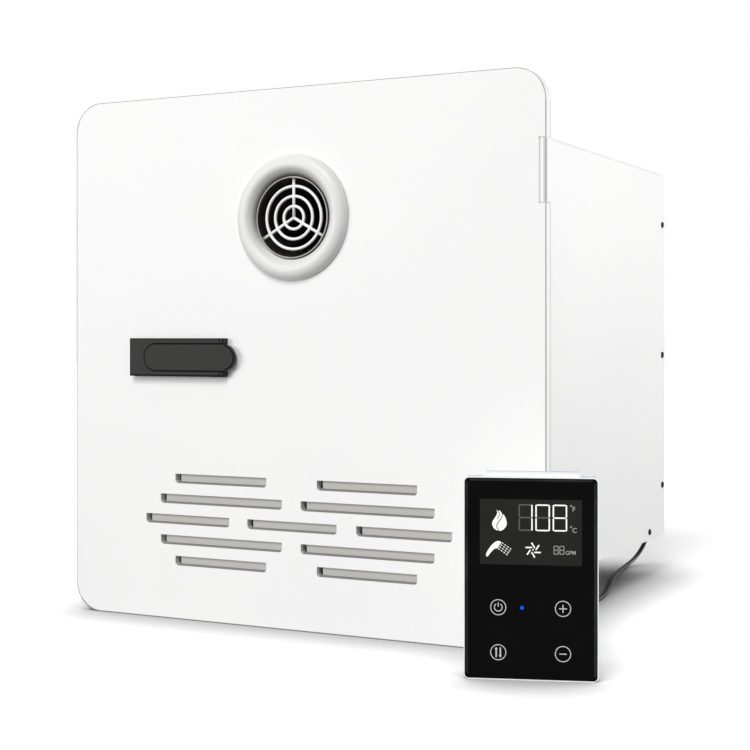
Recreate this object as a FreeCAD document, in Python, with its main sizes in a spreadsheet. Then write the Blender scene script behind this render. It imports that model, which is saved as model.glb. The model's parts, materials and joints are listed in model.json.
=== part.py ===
"""Built-in gas water heater: wall casing with a hinged front door, and its wired controller.

Row frame, in millimetres: the origin is the centre of the wall face of the front flange,
+X points right as seen from the front, +Y goes into the wall and +Z up.  The door stands in
front of the flange, at negative Y, and the casing reaches back from it.
"""
import FreeCAD, Part
import math
import os
import re
import Sketcher

Vector = FreeCAD.Vector

# --------------------------------------------------------------------------------------
# Driving sizes, in millimetres (angles in degrees)
# --------------------------------------------------------------------------------------
SIZES = {
    # front door: a shallow pressed pan
    "door_width": 381.0,
    "door_height": 385.0,
    "door_depth": 8.6,
    "door_sheet": 1.0,
    "door_corner": 22.0,
    "door_gap": 0.8,
    # flange frame that is screwed to the wall
    "flange_width": 372.0,
    "flange_height": 376.0,
    "flange_corner": 18.0,
    "flange_sheet": 1.5,
    "collar_depth": 22.0,
    "frame_hole_span_x": 345.0,
    "frame_hole_span_z": 350.0,
    "frame_hole_radius": 2.25,
    # casing behind the flange
    "case_width": 317.5,
    "case_height": 317.5,
    "case_depth": 368.0,
    "case_sheet": 1.0,
    "case_bend": 3.0,
    "tray_lip": 14.0,
    "back_lip": 12.0,
    "screw_head_radius": 2.6,
    "screw_head_height": 1.4,
    "screw_shank_radius": 1.5,
    "screw_shank_length": 6.0,
    "back_screw_pitch": 114.0,
    "tray_screw_front": 45.0,
    "tray_screw_back": 323.0,
    # hinge at the right edge of the door
    "hinge_inset": 2.6,
    "hinge_pin_radius": 1.25,
    "hinge_running_gap": 0.05,
    "hinge_z": 124.5,
    "tab_height": 42.3,
    "tab_reach": 5.4,
    "tab_proud": 0.3,
    "tab_sheet": 1.2,
    "tab_foot": 12.8,
    "notch_gap": 0.3,
    "lug_height": 8.0,
    # exhaust outlet
    "flue_z": 100.0,
    "flue_radius": 29.0,
    "flue_wall": 0.8,
    "flue_proud": 1.1,
    "bezel_radius": 45.0,
    "bezel_crest_radius": 37.6,
    "bezel_height": 6.4,
    "bezel_bore_gap": 1.2,
    "guard_wire_radius": 1.05,
    "guard_inset": 1.0,
    "guard_ring_small": 8.1,
    "guard_ring_middle": 15.2,
    "guard_ring_large": 22.4,
    # air slots in the door
    "vent_x": -1.0,
    "vent_z": -119.15,
    "slot_height": 7.05,
    "slot_pitch": 15.15,
    "slot_reach": 124.7,
    "slot_step": 13.0,
    "slot_gap": 15.4,
    "slot_middle_length": 73.0,
    "slot_corner": 2.6,
    "slot_lip": 6.3,
    "baffle_sheet": 0.8,
    "baffle_margin": 6.0,
    # paddle latch
    "latch_x": -95.6,
    "latch_z": 0.5,
    "latch_length": 83.0,
    "latch_height": 28.0,
    "latch_proud": 5.0,
    "paddle_left": -123.6,
    "paddle_right": -45.4,
    "paddle_radius": 9.4,
    "paddle_gap": 1.0,
    "paddle_sheet": 3.0,
    "paddle_raise": 0.5,
    "latch_pin_x": -119.0,
    "latch_pin_radius": 1.5,
    "latch_running_gap": 0.05,
    "toe_length": 17.0,
    "toe_radius": 2.0,
    "toe_shank": 2.4,
    "toe_height": 6.0,
    "bolt_slot_gap": 0.4,
    "bolt_tip_x": -151.5,
    "bolt_length": 46.0,
    "bolt_front": 0.5,
    "bolt_thick": 7.4,
    "bolt_height": 13.0,
    "bolt_gap": 0.2,
    "latch_wall": 1.5,
    "latch_box_left": -133.0,
    "latch_box_right": -66.0,
    "latch_box_height": 21.0,
    "latch_spring_length": 16.0,
    "latch_spring_radius": 3.0,
    "latch_spring_wire": 0.5,
    "striker_lip": 9.0,
    "striker_sheet": 1.2,
    "striker_height": 34.0,
    # door seal
    "seal_inner": 160.0,
    "seal_width": 8.0,
    "seal_clear": 0.3,
    # burner, heat exchanger and flue hood, one stack in the middle of the casing
    "stack_half_width": 80.0,
    "stack_front": 150.0,
    "stack_back": 260.0,
    "stack_sheet": 1.0,
    "hood_top": 142.0,
    "hood_low": 66.0,
    "exchanger_low": 6.0,
    "chamber_low": -64.0,
    "burner_low": -118.0,
    "fin_count": 24.0,
    "fin_sheet": 0.8,
    "water_tube_radius": 7.0,
    "water_tube_bore": 6.0,
    "water_tube_pitch": 22.0,
    "water_tube_z": 36.0,
    "rail_count": 8.0,
    "rail_width": 13.0,
    "rail_pitch": 18.5,
    "rail_height": 36.0,
    "rail_slot": 3.0,
    # gas train
    "manifold_z": -97.0,
    "manifold_radius": 8.0,
    "manifold_gap": 6.0,
    "nozzle_radius": 2.5,
    "valve_left": 92.0,
    "valve_right": 144.0,
    "valve_front": 82.0,
    "valve_back": 146.0,
    "valve_low": -122.0,
    "valve_high": -76.0,
    "solenoid_radius": 11.0,
    "solenoid_height": 34.0,
    "gas_x": 132.0,
    "gas_pipe_radius": 6.5,
    "gas_pipe_bore": 5.3,
    "gas_port_radius": 7.94,
    "port_reach": 28.0,
    "port_nut": 3.0,
    # combustion air blower
    "blower_x": -117.0,
    "blower_z": -104.0,
    "blower_front": 150.0,
    "blower_back": 200.0,
    "blower_radius": 37.0,
    "blower_wall": 1.5,
    "blower_inlet_radius": 20.0,
    "wheel_radius": 30.0,
    "wheel_front": 154.0,
    "wheel_back": 192.0,
    "wheel_hub_radius": 9.0,
    "wheel_blades": 20.0,
    "blower_shaft_radius": 3.0,
    "shaft_running_gap": 0.05,
    "motor_radius": 24.0,
    "motor_length": 40.0,
    "duct_height": 26.0,
    # water train
    "cold_x": 60.0,
    "cold_z": -136.0,
    "hot_x": 134.0,
    "riser_x": 114.0,
    "water_port_radius": 10.45,
    "sensor_front": 285.0,
    "sensor_back": 335.0,
    "sensor_radius": 15.0,
    "turbine_radius": 9.5,
    "turbine_length": 9.0,
    "turbine_pin_radius": 1.0,
    "relief_radius": 12.0,
    # controls
    "control_right": -105.0,
    "control_front": 45.0,
    "control_back": 185.0,
    "control_low": -40.0,
    "control_high": 128.0,
    "control_wall": 2.0,
    "board_sheet": 1.6,
    "switch_z": 96.0,
    "switch_half_width": 9.5,
    "switch_half_height": 14.0,
    "rocker_pin_radius": 1.0,
    "igniter_left": 98.0,
    "igniter_front": 62.0,
    "igniter_back": 100.0,
    "igniter_low": 74.0,
    "igniter_high": 126.0,
    "electrode_z": -34.0,
    "electrode_radius": 1.0,
    "insulator_radius": 3.5,
    # wired controller, standing in front of the door's lower right corner
    "floor_z": -192.5,
    "controller_x": 206.77,
    "controller_y": -80.21,
    "controller_turn": 18.8,
    "controller_width": 81.4,
    "controller_height": 123.0,
    "controller_rim": 7.0,
    "controller_corner": 3.4,
    "glass_inset": 0.6,
    "glass_sheet": 1.6,
    "glass_corner": 2.6,
    "controller_wall": 1.8,
    "back_inset": 11.5,
    "back_raise": 1.6,
    "back_depth": 15.0,
    "display_left": 8.7,
    "display_low": 69.7,
    "display_width": 63.2,
    "display_height": 40.0,
    "controller_exit_x": 13.4,
    "controller_exit_z": 20.0,
    "display_sheet": 1.6,
    "key_left": 20.5,
    "key_right": 59.5,
    "key_low": 16.6,
    "key_high": 43.9,
    "key_radius": 4.9,
    "bush_length": 14.0,
    "bush_radius": 3.6,
    "bush_neck_radius": 2.8,
    # control cable
    "cord_radius": 1.8,
    "gland_x": 137.0,
    "gland_z": -143.0,
    "gland_radius": 6.5,
    "gland_length": 14.0,
    "coil_x": 150.0,
    "coil_y": 72.0,
    "coil_mean_radius": 21.5,
    "coil_half_width": 9.1,
    "coil_height": 14.6,
    "tie_sheet": 0.8,
}

# Places worked out from the driving sizes, as formulas of the sheet
PLACES = {
    "door_front": "-(flange_sheet + door_gap + door_depth)",
    "door_back": "-(flange_sheet + door_gap)",
    "skin_back": "door_front + door_sheet",
    "case_inner_x": "case_width / 2 - case_sheet",
    "case_inner_z": "case_height / 2 - case_sheet",
    "hinge_x": "door_width / 2 - hinge_inset",
    "hinge_y": "door_front + hinge_inset",
    "bezel_bore": "flue_radius + bezel_bore_gap",
    "slot_inner_one": "slot_gap / 2",
    "slot_inner_two": "slot_gap / 2 + slot_step",
    "latch_front": "door_front - latch_proud",
    "paddle_front": "latch_front - paddle_raise",
    "latch_pin_y": "paddle_front + paddle_sheet",
    "latch_box_back": "bolt_front + bolt_thick + bolt_gap",
    "bolt_right_x": "bolt_tip_x + bolt_length",
    "rail_top": "burner_low + 8 + rail_height",
    "manifold_y": "stack_front - manifold_gap - manifold_radius",
    "hot_tube_y": "(stack_front + stack_back) / 2 - 1.5 * water_tube_pitch",
    "cold_tube_y": "(stack_front + stack_back) / 2 + 1.5 * water_tube_pitch",
    "coil_low": "floor_z + tie_sheet",
    "cord_z": "floor_z + cord_radius",
    "duct_low": "blower_z + blower_radius - duct_height",
    "control_left": "-case_inner_x + 4",
}

DOC = FreeCAD.newDocument("water_heater")
SHEET = DOC.addObject("Spreadsheet::Sheet", "dims")
NODES = {}


def bound(text):
    """Give the sheet's name to each of its aliases in an expression."""
    def with_sheet(match):
        word = match.group(0)
        return "dims." + word if word in SIZES or word in PLACES else word
    return re.sub(r"[a-z][a-z_]*", with_sheet, text)


def fill_sheet():
    """Write the driving sizes as plain numbers, and the places as formulas below them."""
    row = 1
    for alias, number in SIZES.items():
        SHEET.set(f"A{row}", alias)
        SHEET.set(f"B{row}", repr(number))
        SHEET.setAlias(f"B{row}", alias)
        row += 1
    for alias, formula in PLACES.items():
        SHEET.set(f"A{row}", alias)
        SHEET.set(f"B{row}", "=" + formula)
        SHEET.setAlias(f"B{row}", alias)
        row += 1
    DOC.recompute()


def size(alias):
    """The sheet's value of one size or place."""
    return float(SHEET.get(alias))


def bind(thing, prop, text):
    """Tie one property of an object to an expression of the sheet's sizes."""
    thing.setExpression(prop, bound(text))


# --------------------------------------------------------------------------------------
# Small makers shared by all the sub-parts
# --------------------------------------------------------------------------------------
TURN_TO_AXIS = {
    "x": FreeCAD.Rotation(Vector(0, 1, 0), 90),
    "y": FreeCAD.Rotation(Vector(1, 0, 0), -90),
    "z": FreeCAD.Rotation(),
}
CROSS_AXES = {"x": ("y", "z"), "y": ("x", "z"), "z": ("x", "y")}


def block(name, x, y, z):
    """A box between three pairs of sides, each side an expression."""
    box = DOC.addObject("Part::Box", name)
    for prop, axis, sides in (("Length", "x", x), ("Width", "y", y), ("Height", "z", z)):
        low, high = sides
        bind(box, prop, f"({high}) - ({low})")
        bind(box, f"Placement.Base.{axis}", low)
    return box


def rod(name, axis, radius, ends, centre):
    """A round bar along one axis, between its ends and about its centre line."""
    bar = DOC.addObject("Part::Cylinder", name)
    bar.Placement = FreeCAD.Placement(Vector(), TURN_TO_AXIS[axis])
    bind(bar, "Radius", radius)
    bind(bar, "Height", f"({ends[1]}) - ({ends[0]})")
    bind(bar, f"Placement.Base.{axis}", ends[0])
    for across, place in zip(CROSS_AXES[axis], centre):
        bind(bar, f"Placement.Base.{across}", place)
    return bar


def cut(name, base, *tools):
    """The base with each tool taken away."""
    taken = tools[0] if len(tools) == 1 else fuse(name + "_tools", *tools)
    result = DOC.addObject("Part::Cut", name)
    result.Base = base
    result.Tool = taken
    return result


def fuse(name, *parts):
    """Several shapes joined as one."""
    result = DOC.addObject("Part::MultiFuse", name)
    result.Shapes = list(parts)
    result.Refine = True
    return result


def group(name, *parts):
    """Separate solids kept together as one node."""
    result = DOC.addObject("Part::Compound", name)
    result.Links = list(parts)
    return result


def shape(name, made):
    """A shape that is made in code from the sheet's values."""
    holder = DOC.addObject("Part::Feature", name)
    holder.Shape = made
    holder.Placement = FreeCAD.Placement()
    return holder


def node(name, thing):
    """Label the finished sub-part; its label names its file."""
    thing.Label = name
    NODES[name] = thing
    return thing


def new_body(name):
    """An empty PartDesign body."""
    return DOC.addObject("PartDesign::Body", name)


def new_sketch(body, name, role, offset="0"):
    """A sketch on one of the body's own origin planes, lifted along the plane's normal."""
    sketch = body.newObject("Sketcher::SketchObject", name)
    plane = next(item for item in body.Origin.OriginFeatures if item.Role == role)
    sketch.AttachmentSupport = [(plane, "")]
    sketch.MapMode = "FlatFace"
    bind(sketch, "AttachmentOffset.Base.z", offset)
    return sketch


def hold(sketch, kind, line, point, name, text):
    """Hold one point of a line at a signed distance from the sketch's origin."""
    along = 0 if kind == "DistanceX" else 1
    at = sketch.getPoint(line, point)
    sketch.addConstraint(Sketcher.Constraint(kind, -1, 1, line, point, at[along]))
    sketch.renameConstraint(sketch.ConstraintCount - 1, name)
    bind(sketch, f"Constraints.{name}", text)


def number_of(text):
    """The value of an expression of the sheet, worked out in a spare cell of the sheet."""
    SHEET.set("D1", "=" + text)
    SHEET.recompute()
    return float(SHEET.get("D1"))


def draw_rectangle(sketch, tag, across, up):
    """A rectangle with its four sides bound to expressions."""
    left, right = (number_of(side) for side in across)
    low, high = (number_of(side) for side in up)
    corners = [Vector(left, low, 0), Vector(right, low, 0),
               Vector(right, high, 0), Vector(left, high, 0)]
    first = sketch.GeometryCount
    for index in range(4):
        sketch.addGeometry(Part.LineSegment(corners[index], corners[(index + 1) % 4]), False)
    for index in range(4):
        sketch.addConstraint(Sketcher.Constraint(
            "Coincident", first + index, 2, first + (index + 1) % 4, 1))
        level = "Horizontal" if index % 2 == 0 else "Vertical"
        sketch.addConstraint(Sketcher.Constraint(level, first + index))
    hold(sketch, "DistanceX", first, 1, tag + "_left", across[0])
    hold(sketch, "DistanceY", first, 1, tag + "_low", up[0])
    hold(sketch, "DistanceX", first + 2, 1, tag + "_right", across[1])
    hold(sketch, "DistanceY", first + 2, 1, tag + "_high", up[1])


def draw_rounded_rectangle(sketch, tag, across, up, corner):
    """A rectangle with round corners, its sides and its corner radius bound to expressions."""
    left, right = (number_of(side) for side in across)
    low, high = (number_of(side) for side in up)
    radius = number_of(corner)
    places = [Vector(right - radius, low + radius, 0), Vector(right - radius, high - radius, 0),
              Vector(left + radius, high - radius, 0), Vector(left + radius, low + radius, 0)]
    quarter = math.pi / 2
    first = sketch.GeometryCount
    arcs = []
    for index, place in enumerate(places):
        circle = Part.Circle(place, Vector(0, 0, 1), radius)
        arcs.append(Part.ArcOfCircle(circle, (index - 1) * quarter, index * quarter))
        sketch.addGeometry(arcs[-1], False)
    for index in range(4):
        line = Part.LineSegment(arcs[index - 1].EndPoint, arcs[index].StartPoint)
        sketch.addGeometry(line, False)
    for index in range(4):
        arc, line = first + index, first + 4 + index
        sketch.addConstraint(Sketcher.Constraint("Tangent", line, 2, arc, 1))
        sketch.addConstraint(Sketcher.Constraint("Tangent", first + (index - 1) % 4, 2, line, 1))
        level = "Horizontal" if index % 2 == 0 else "Vertical"
        sketch.addConstraint(Sketcher.Constraint(level, line))
        if index:
            sketch.addConstraint(Sketcher.Constraint("Equal", first, arc))
    sketch.addConstraint(Sketcher.Constraint("Radius", first, radius))
    sketch.renameConstraint(sketch.ConstraintCount - 1, tag + "_corner")
    bind(sketch, f"Constraints.{tag}_corner", corner)
    hold(sketch, "DistanceY", first + 4, 1, tag + "_low", up[0])
    hold(sketch, "DistanceX", first + 5, 1, tag + "_right", across[1])
    hold(sketch, "DistanceY", first + 6, 1, tag + "_high", up[1])
    hold(sketch, "DistanceX", first + 7, 1, tag + "_left", across[0])


def draw_circle(sketch, tag, radius, centre):
    """A circle with its radius and centre bound to expressions."""
    place = Vector(number_of(centre[0]), number_of(centre[1]), 0)
    first = sketch.GeometryCount
    sketch.addGeometry(Part.Circle(place, Vector(0, 0, 1), number_of(radius)), False)
    sketch.addConstraint(Sketcher.Constraint("Radius", first, number_of(radius)))
    sketch.renameConstraint(sketch.ConstraintCount - 1, tag + "_radius")
    bind(sketch, f"Constraints.{tag}_radius", radius)
    hold(sketch, "DistanceX", first, 3, tag + "_x", centre[0])
    hold(sketch, "DistanceY", first, 3, tag + "_z", centre[1])


def pad(body, name, sketch, length, backwards=False):
    """Material from a sketch, over a length along its normal or against it."""
    feature = body.newObject("PartDesign::Pad", name)
    feature.Profile = sketch
    bind(feature, "Length", length)
    feature.Reversed = backwards
    return feature


def pocket(body, name, sketch, length, forwards=False):
    """A hole from a sketch; it must take something away."""
    DOC.recompute()
    before = body.Shape.Volume
    feature = body.newObject("PartDesign::Pocket", name)
    feature.Profile = sketch
    bind(feature, "Length", length)
    feature.Reversed = forwards
    DOC.recompute()
    if body.Shape.Volume >= before:
        raise RuntimeError(f"{name} takes nothing away")
    return feature


def edges_along(feature, axis, choose=None):
    """Names of a feature's straight edges along one axis, those that choose picks."""
    names = []
    for index, edge in enumerate(feature.Shape.Edges):
        if not isinstance(edge.Curve, Part.Line):
            continue
        direction = edge.tangentAt(edge.FirstParameter)
        if abs(abs(getattr(direction, axis)) - 1.0) > 1e-6:
            continue
        if choose is None or choose(edge.CenterOfMass):
            names.append(f"Edge{index + 1}")
    return names


def fillet(body, name, base, edge_names, radius):
    """Round the named edges of a feature."""
    feature = body.newObject("PartDesign::Fillet", name)
    feature.Base = (base, edge_names)
    bind(feature, "Radius", radius)
    DOC.recompute()
    return feature


def taper(name, axis, radii, ends, centre):
    """A cone along one axis, from the radius at its low end to that at its high end."""
    cone = DOC.addObject("Part::Cone", name)
    cone.Placement = FreeCAD.Placement(Vector(), TURN_TO_AXIS[axis])
    bind(cone, "Radius1", radii[0])
    bind(cone, "Radius2", radii[1])
    bind(cone, "Height", f"({ends[1]}) - ({ends[0]})")
    bind(cone, f"Placement.Base.{axis}", ends[0])
    for across, place in zip(CROSS_AXES[axis], centre):
        bind(cone, f"Placement.Base.{across}", place)
    return cone


def shell_box(name, x, y, z, wall, open_sides=()):
    """A box with walls of one thickness, open on the named sides such as +z or -y."""
    sides = {"x": x, "y": y, "z": z}
    inner = {}
    for axis, (low, high) in sides.items():
        reach_low = f"({low}) - 1" if "-" + axis in open_sides else f"({low}) + {wall}"
        reach_high = f"({high}) + 1" if "+" + axis in open_sides else f"({high}) - {wall}"
        inner[axis] = (reach_low, reach_high)
    outer = block(name + "_outer", x, y, z)
    hollow = block(name + "_hollow", inner["x"], inner["y"], inner["z"])
    return cut(name, outer, hollow)


def bent_tube(name, points, radius, bore, bends):
    """A round tube along straight runs that tangent arcs join; one bend radius a corner."""
    edges = []
    start = points[0]
    for index, bend in enumerate(bends, start=1):
        corner = points[index]
        back = (points[index - 1] - corner).normalize()
        ahead = (points[index + 1] - corner).normalize()
        half = back.getAngle(ahead) / 2
        away = bend / math.tan(half)
        enter = corner + back * away
        leave = corner + ahead * away
        middle = corner + (back + ahead).normalize() * (bend / math.sin(half) - bend)
        edges.append(Part.LineSegment(start, enter).toShape())
        edges.append(Part.Arc(enter, middle, leave).toShape())
        start = leave
    edges.append(Part.LineSegment(start, points[-1]).toShape())
    path = Part.Wire(edges)
    heading = (points[1] - points[0]).normalize()

    def swept(section):
        ring = Part.Wire(Part.Circle(points[0], heading, section).toShape())
        return path.makePipeShell([ring], True, False)

    tube = swept(radius)
    if bore:
        tube = tube.cut(swept(bore))
    wanted = math.pi * (radius ** 2 - bore ** 2) * path.Length
    if abs(tube.Volume - wanted) > 0.01 * wanted:
        raise RuntimeError(f"{name} holds {tube.Volume:.0f} where its length gives {wanted:.0f}")
    return shape(name, tube)


# --------------------------------------------------------------------------------------
# Flange frame and casing
# --------------------------------------------------------------------------------------
def make_front_frame():
    """The flange that is screwed to the wall, with the collar that the casing slips over."""
    body = new_body("front_frame")
    flange = new_sketch(body, "flange_outline", "XZ_Plane")
    draw_rectangle(flange, "flange", ("-flange_width / 2", "flange_width / 2"),
                   ("-flange_height / 2", "flange_height / 2"))
    plate = pad(body, "flange_plate", flange, "flange_sheet")
    DOC.recompute()
    fillet(body, "flange_corners", plate, edges_along(plate, "y"), "flange_corner")
    collar = new_sketch(body, "collar_outline", "XZ_Plane")
    draw_rectangle(collar, "outer", ("-case_inner_x", "case_inner_x"),
                   ("-case_inner_z", "case_inner_z"))
    draw_rectangle(collar, "inner", ("-case_inner_x + flange_sheet", "case_inner_x - flange_sheet"),
                   ("-case_inner_z + flange_sheet", "case_inner_z - flange_sheet"))
    pad(body, "collar_wall", collar, "collar_depth", backwards=True)
    opening = new_sketch(body, "opening_outline", "XZ_Plane")
    draw_rectangle(opening, "opening",
                   ("-case_inner_x + flange_sheet", "case_inner_x - flange_sheet"),
                   ("-case_inner_z + flange_sheet", "case_inner_z - flange_sheet"))
    for tag, x_sign, z_sign in (("a", "", ""), ("b", "-", ""), ("c", "", "-"), ("d", "-", "-")):
        draw_circle(opening, "hole_" + tag, "frame_hole_radius",
                    (f"{x_sign}frame_hole_span_x / 2", f"{z_sign}frame_hole_span_z / 2"))
    pocket(body, "opening_cut", opening, "flange_sheet + 1", forwards=True)
    node("front_frame", body)


SIDE_SCREWS = [
    ("top", "case_depth - back_lip / 2 - case_sheet", "back_screw_pitch"),
    ("middle", "case_depth - back_lip / 2 - case_sheet", "0"),
    ("bottom", "case_depth - back_lip / 2 - case_sheet", "-back_screw_pitch"),
    ("tray_back", "tray_screw_back", "-case_height / 2 + tray_lip / 2"),
    ("tray_front", "tray_screw_front", "-case_height / 2 + tray_lip / 2"),
]


def screw_drills(name):
    """Bars through both sides of the casing, where its screws go."""
    return [rod(f"{name}_drill_{tag}", "x", "screw_shank_radius",
                ("-case_width / 2 - 1", "case_width / 2 + 1"), (y, z))
            for tag, y, z in SIDE_SCREWS]


def make_casing_shell():
    """Top and sides, one sheet bent over the two upper edges."""
    body = new_body("casing_blank")
    outline = new_sketch(body, "shell_outline", "XZ_Plane")
    draw_rectangle(outline, "shell", ("-case_width / 2", "case_width / 2"),
                   ("-case_height / 2", "case_height / 2"))
    solid = pad(body, "shell_solid", outline, "case_depth", backwards=True)
    DOC.recompute()
    upper = edges_along(solid, "y", lambda middle: middle.z > 0)
    fillet(body, "shell_bends", solid, upper, "case_bend")
    inside = new_sketch(body, "shell_inside", "XZ_Plane")
    draw_rectangle(inside, "inside", ("-case_inner_x", "case_inner_x"),
                   ("-case_height / 2 - 1", "case_inner_z"))
    pocket(body, "shell_hollow", inside, "case_depth + 1")
    node("casing_shell", cut("casing_shell", body, *screw_drills("shell")))


def make_bottom_panel():
    """Floor of the casing, with a lip up each side for its screws."""
    plate = block("tray_plate", ("-case_inner_x", "case_inner_x"), ("0", "case_depth"),
                  ("-case_height / 2", "-case_inner_z"))
    lips = [block(f"tray_lip_{tag}", x, ("collar_depth", "case_depth - back_lip"),
                  ("-case_height / 2", "-case_height / 2 + tray_lip"))
            for tag, x in (("right", ("case_inner_x - case_sheet", "case_inner_x")),
                           ("left", ("-case_inner_x", "-case_inner_x + case_sheet")))]
    tray = fuse("tray", plate, *lips)
    node("bottom_panel", cut("bottom_panel", tray, *screw_drills("tray")))


def make_back_panel():
    """Rear wall, a pan with its lip forward, pierced for the ports and the cable."""
    pan = shell_box("back_pan", ("-case_inner_x", "case_inner_x"),
                    ("case_depth - back_lip", "case_depth"),
                    ("-case_inner_z", "case_inner_z"), "case_sheet", ("-y",))
    through = ("case_depth - 3", "case_depth + 1")
    holes = [
        rod("hole_cold", "y", "water_port_radius", through, ("cold_x", "cold_z")),
        rod("hole_hot", "y", "water_port_radius", through, ("hot_x", "water_tube_z")),
        rod("hole_gas", "y", "gas_port_radius", through, ("gas_x", "manifold_z")),
        rod("hole_gland", "y", "gland_radius - 2", through, ("gland_x", "gland_z")),
    ]
    node("back_panel", cut("back_panel", pan, *holes, *screw_drills("back")))


def make_casing_screws():
    """Pan-head screws along both sides, into the lips of the back and bottom panels."""
    screws = []
    for side, sign in (("right", ""), ("left", "-")):
        for tag, y, z in SIDE_SCREWS:
            face = f"{sign}case_width / 2"
            if side == "right":
                shank_ends = (f"{face} - screw_shank_length", face)
                head_ends = (face, f"{face} + screw_head_height")
                radii = ("screw_head_radius", "screw_head_radius * 0.7")
            else:
                shank_ends = (face, f"{face} + screw_shank_length")
                head_ends = (f"{face} - screw_head_height", face)
                radii = ("screw_head_radius * 0.7", "screw_head_radius")
            name = f"screw_{side}_{tag}"
            screws.append(fuse(name,
                               rod(name + "_shank", "x", "screw_shank_radius", shank_ends, (y, z)),
                               taper(name + "_head", "x", radii, head_ends, (y, z))))
    node("casing_screws", group("casing_screws", *screws))


# --------------------------------------------------------------------------------------
# Door and hinge
# --------------------------------------------------------------------------------------
def slot_spans(row):
    """Left and right ends of the slots in one row, counted from the middle row."""
    half_middle = "slot_middle_length / 2"
    reach = f"slot_reach - slot_step * {abs(row)}"
    if row == 0:
        inner = f"{half_middle} + slot_gap"
        spans = [(f"-{half_middle}", half_middle)]
    else:
        inner = "slot_inner_one" if abs(row) == 1 else "slot_inner_two"
        spans = []
    spans += [(inner, reach), (f"-({reach})", f"-({inner})")]
    return [(f"vent_x + {left}", f"vent_x + {right}") for left, right in spans]


def slot_sides():
    """Each slot of the door: a tag, its two ends and its lower and upper side."""
    slots = []
    for row in range(-2, 3):
        middle = f"vent_z - slot_pitch * {row}" if row >= 0 else f"vent_z + slot_pitch * {-row}"
        up = (f"{middle} - slot_height / 2", f"{middle} + slot_height / 2")
        for index, across in enumerate(slot_spans(row)):
            slots.append((f"row{'abcde'[row + 2]}_{'abc'[index]}", across, up))
    return slots


def make_door_panel():
    """The pan of the door: skin, skirt, lipped air slots, notches for the hinge tabs."""
    body = new_body("door_panel")
    outline = new_sketch(body, "door_outline", "XZ_Plane", "-door_back")
    draw_rectangle(outline, "door", ("-door_width / 2", "door_width / 2"),
                   ("-door_height / 2", "door_height / 2"))
    solid = pad(body, "door_solid", outline, "door_depth")
    DOC.recompute()
    rounded = fillet(body, "door_corners", solid, edges_along(solid, "y"), "door_corner")
    front = [f"Edge{index + 1}" for index, edge in enumerate(rounded.Shape.Edges)
             if all(abs(vertex.Point.y - size("door_front")) < 0.001 for vertex in edge.Vertexes)]
    fillet(body, "door_front_edge", rounded, front, "door_sheet * 0.8")
    inside = new_sketch(body, "door_inside", "XZ_Plane", "-door_back")
    draw_rounded_rectangle(
        inside, "inside", ("-door_width / 2 + door_sheet", "door_width / 2 - door_sheet"),
        ("-door_height / 2 + door_sheet", "door_height / 2 - door_sheet"), "door_corner - door_sheet")
    pocket(body, "door_hollow", inside, "door_depth - door_sheet", forwards=True)

    lips = new_sketch(body, "slot_lips", "XZ_Plane", "-(door_front + slot_lip)")
    for tag, across, up in slot_sides():
        draw_rectangle(lips, tag, (f"{across[0]} - baffle_sheet", f"{across[1]} + baffle_sheet"),
                       (f"{up[0]} - baffle_sheet", f"{up[1]} + baffle_sheet"))
    pad(body, "slot_lip_pads", lips, "slot_lip - door_sheet / 2")
    slots = new_sketch(body, "slot_openings", "XZ_Plane", "-door_front")
    for tag, across, up in slot_sides():
        draw_rectangle(slots, tag, across, up)
    slot_cut = pocket(body, "slot_cuts", slots, "slot_lip + 1")
    lower_sides = [number_of(up[0]) for tag, across, up in slot_sides()]
    lower = edges_along(slot_cut, "y", lambda middle: any(
        abs(middle.z - side) < 0.01 for side in lower_sides))
    fillet(body, "slot_corners", slot_cut, lower, "slot_corner")

    openings = new_sketch(body, "flue_and_latch", "XZ_Plane", "-door_front")
    draw_circle(openings, "flue", "bezel_bore + 2", ("0", "flue_z"))
    draw_rectangle(openings, "latch", ("latch_box_left", "latch_box_right"),
                   ("latch_z - latch_box_height / 2", "latch_z + latch_box_height / 2"))
    pocket(body, "flue_and_latch_cut", openings, "door_sheet + 0.5")
    notches = new_sketch(body, "hinge_notches", "XZ_Plane", "-door_back")
    notch_left = "door_width / 2 + tab_proud - tab_reach - notch_gap"
    for tag, sign in (("upper", ""), ("lower", "-")):
        draw_rectangle(notches, tag, (notch_left, "door_width / 2 + 1"),
                       (f"{sign}hinge_z - tab_height / 2 - notch_gap",
                        f"{sign}hinge_z + tab_height / 2 + notch_gap"))
    pocket(body, "hinge_notch_cut", notches, "door_depth + 1", forwards=True)
    node("door_panel", body)


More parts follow.
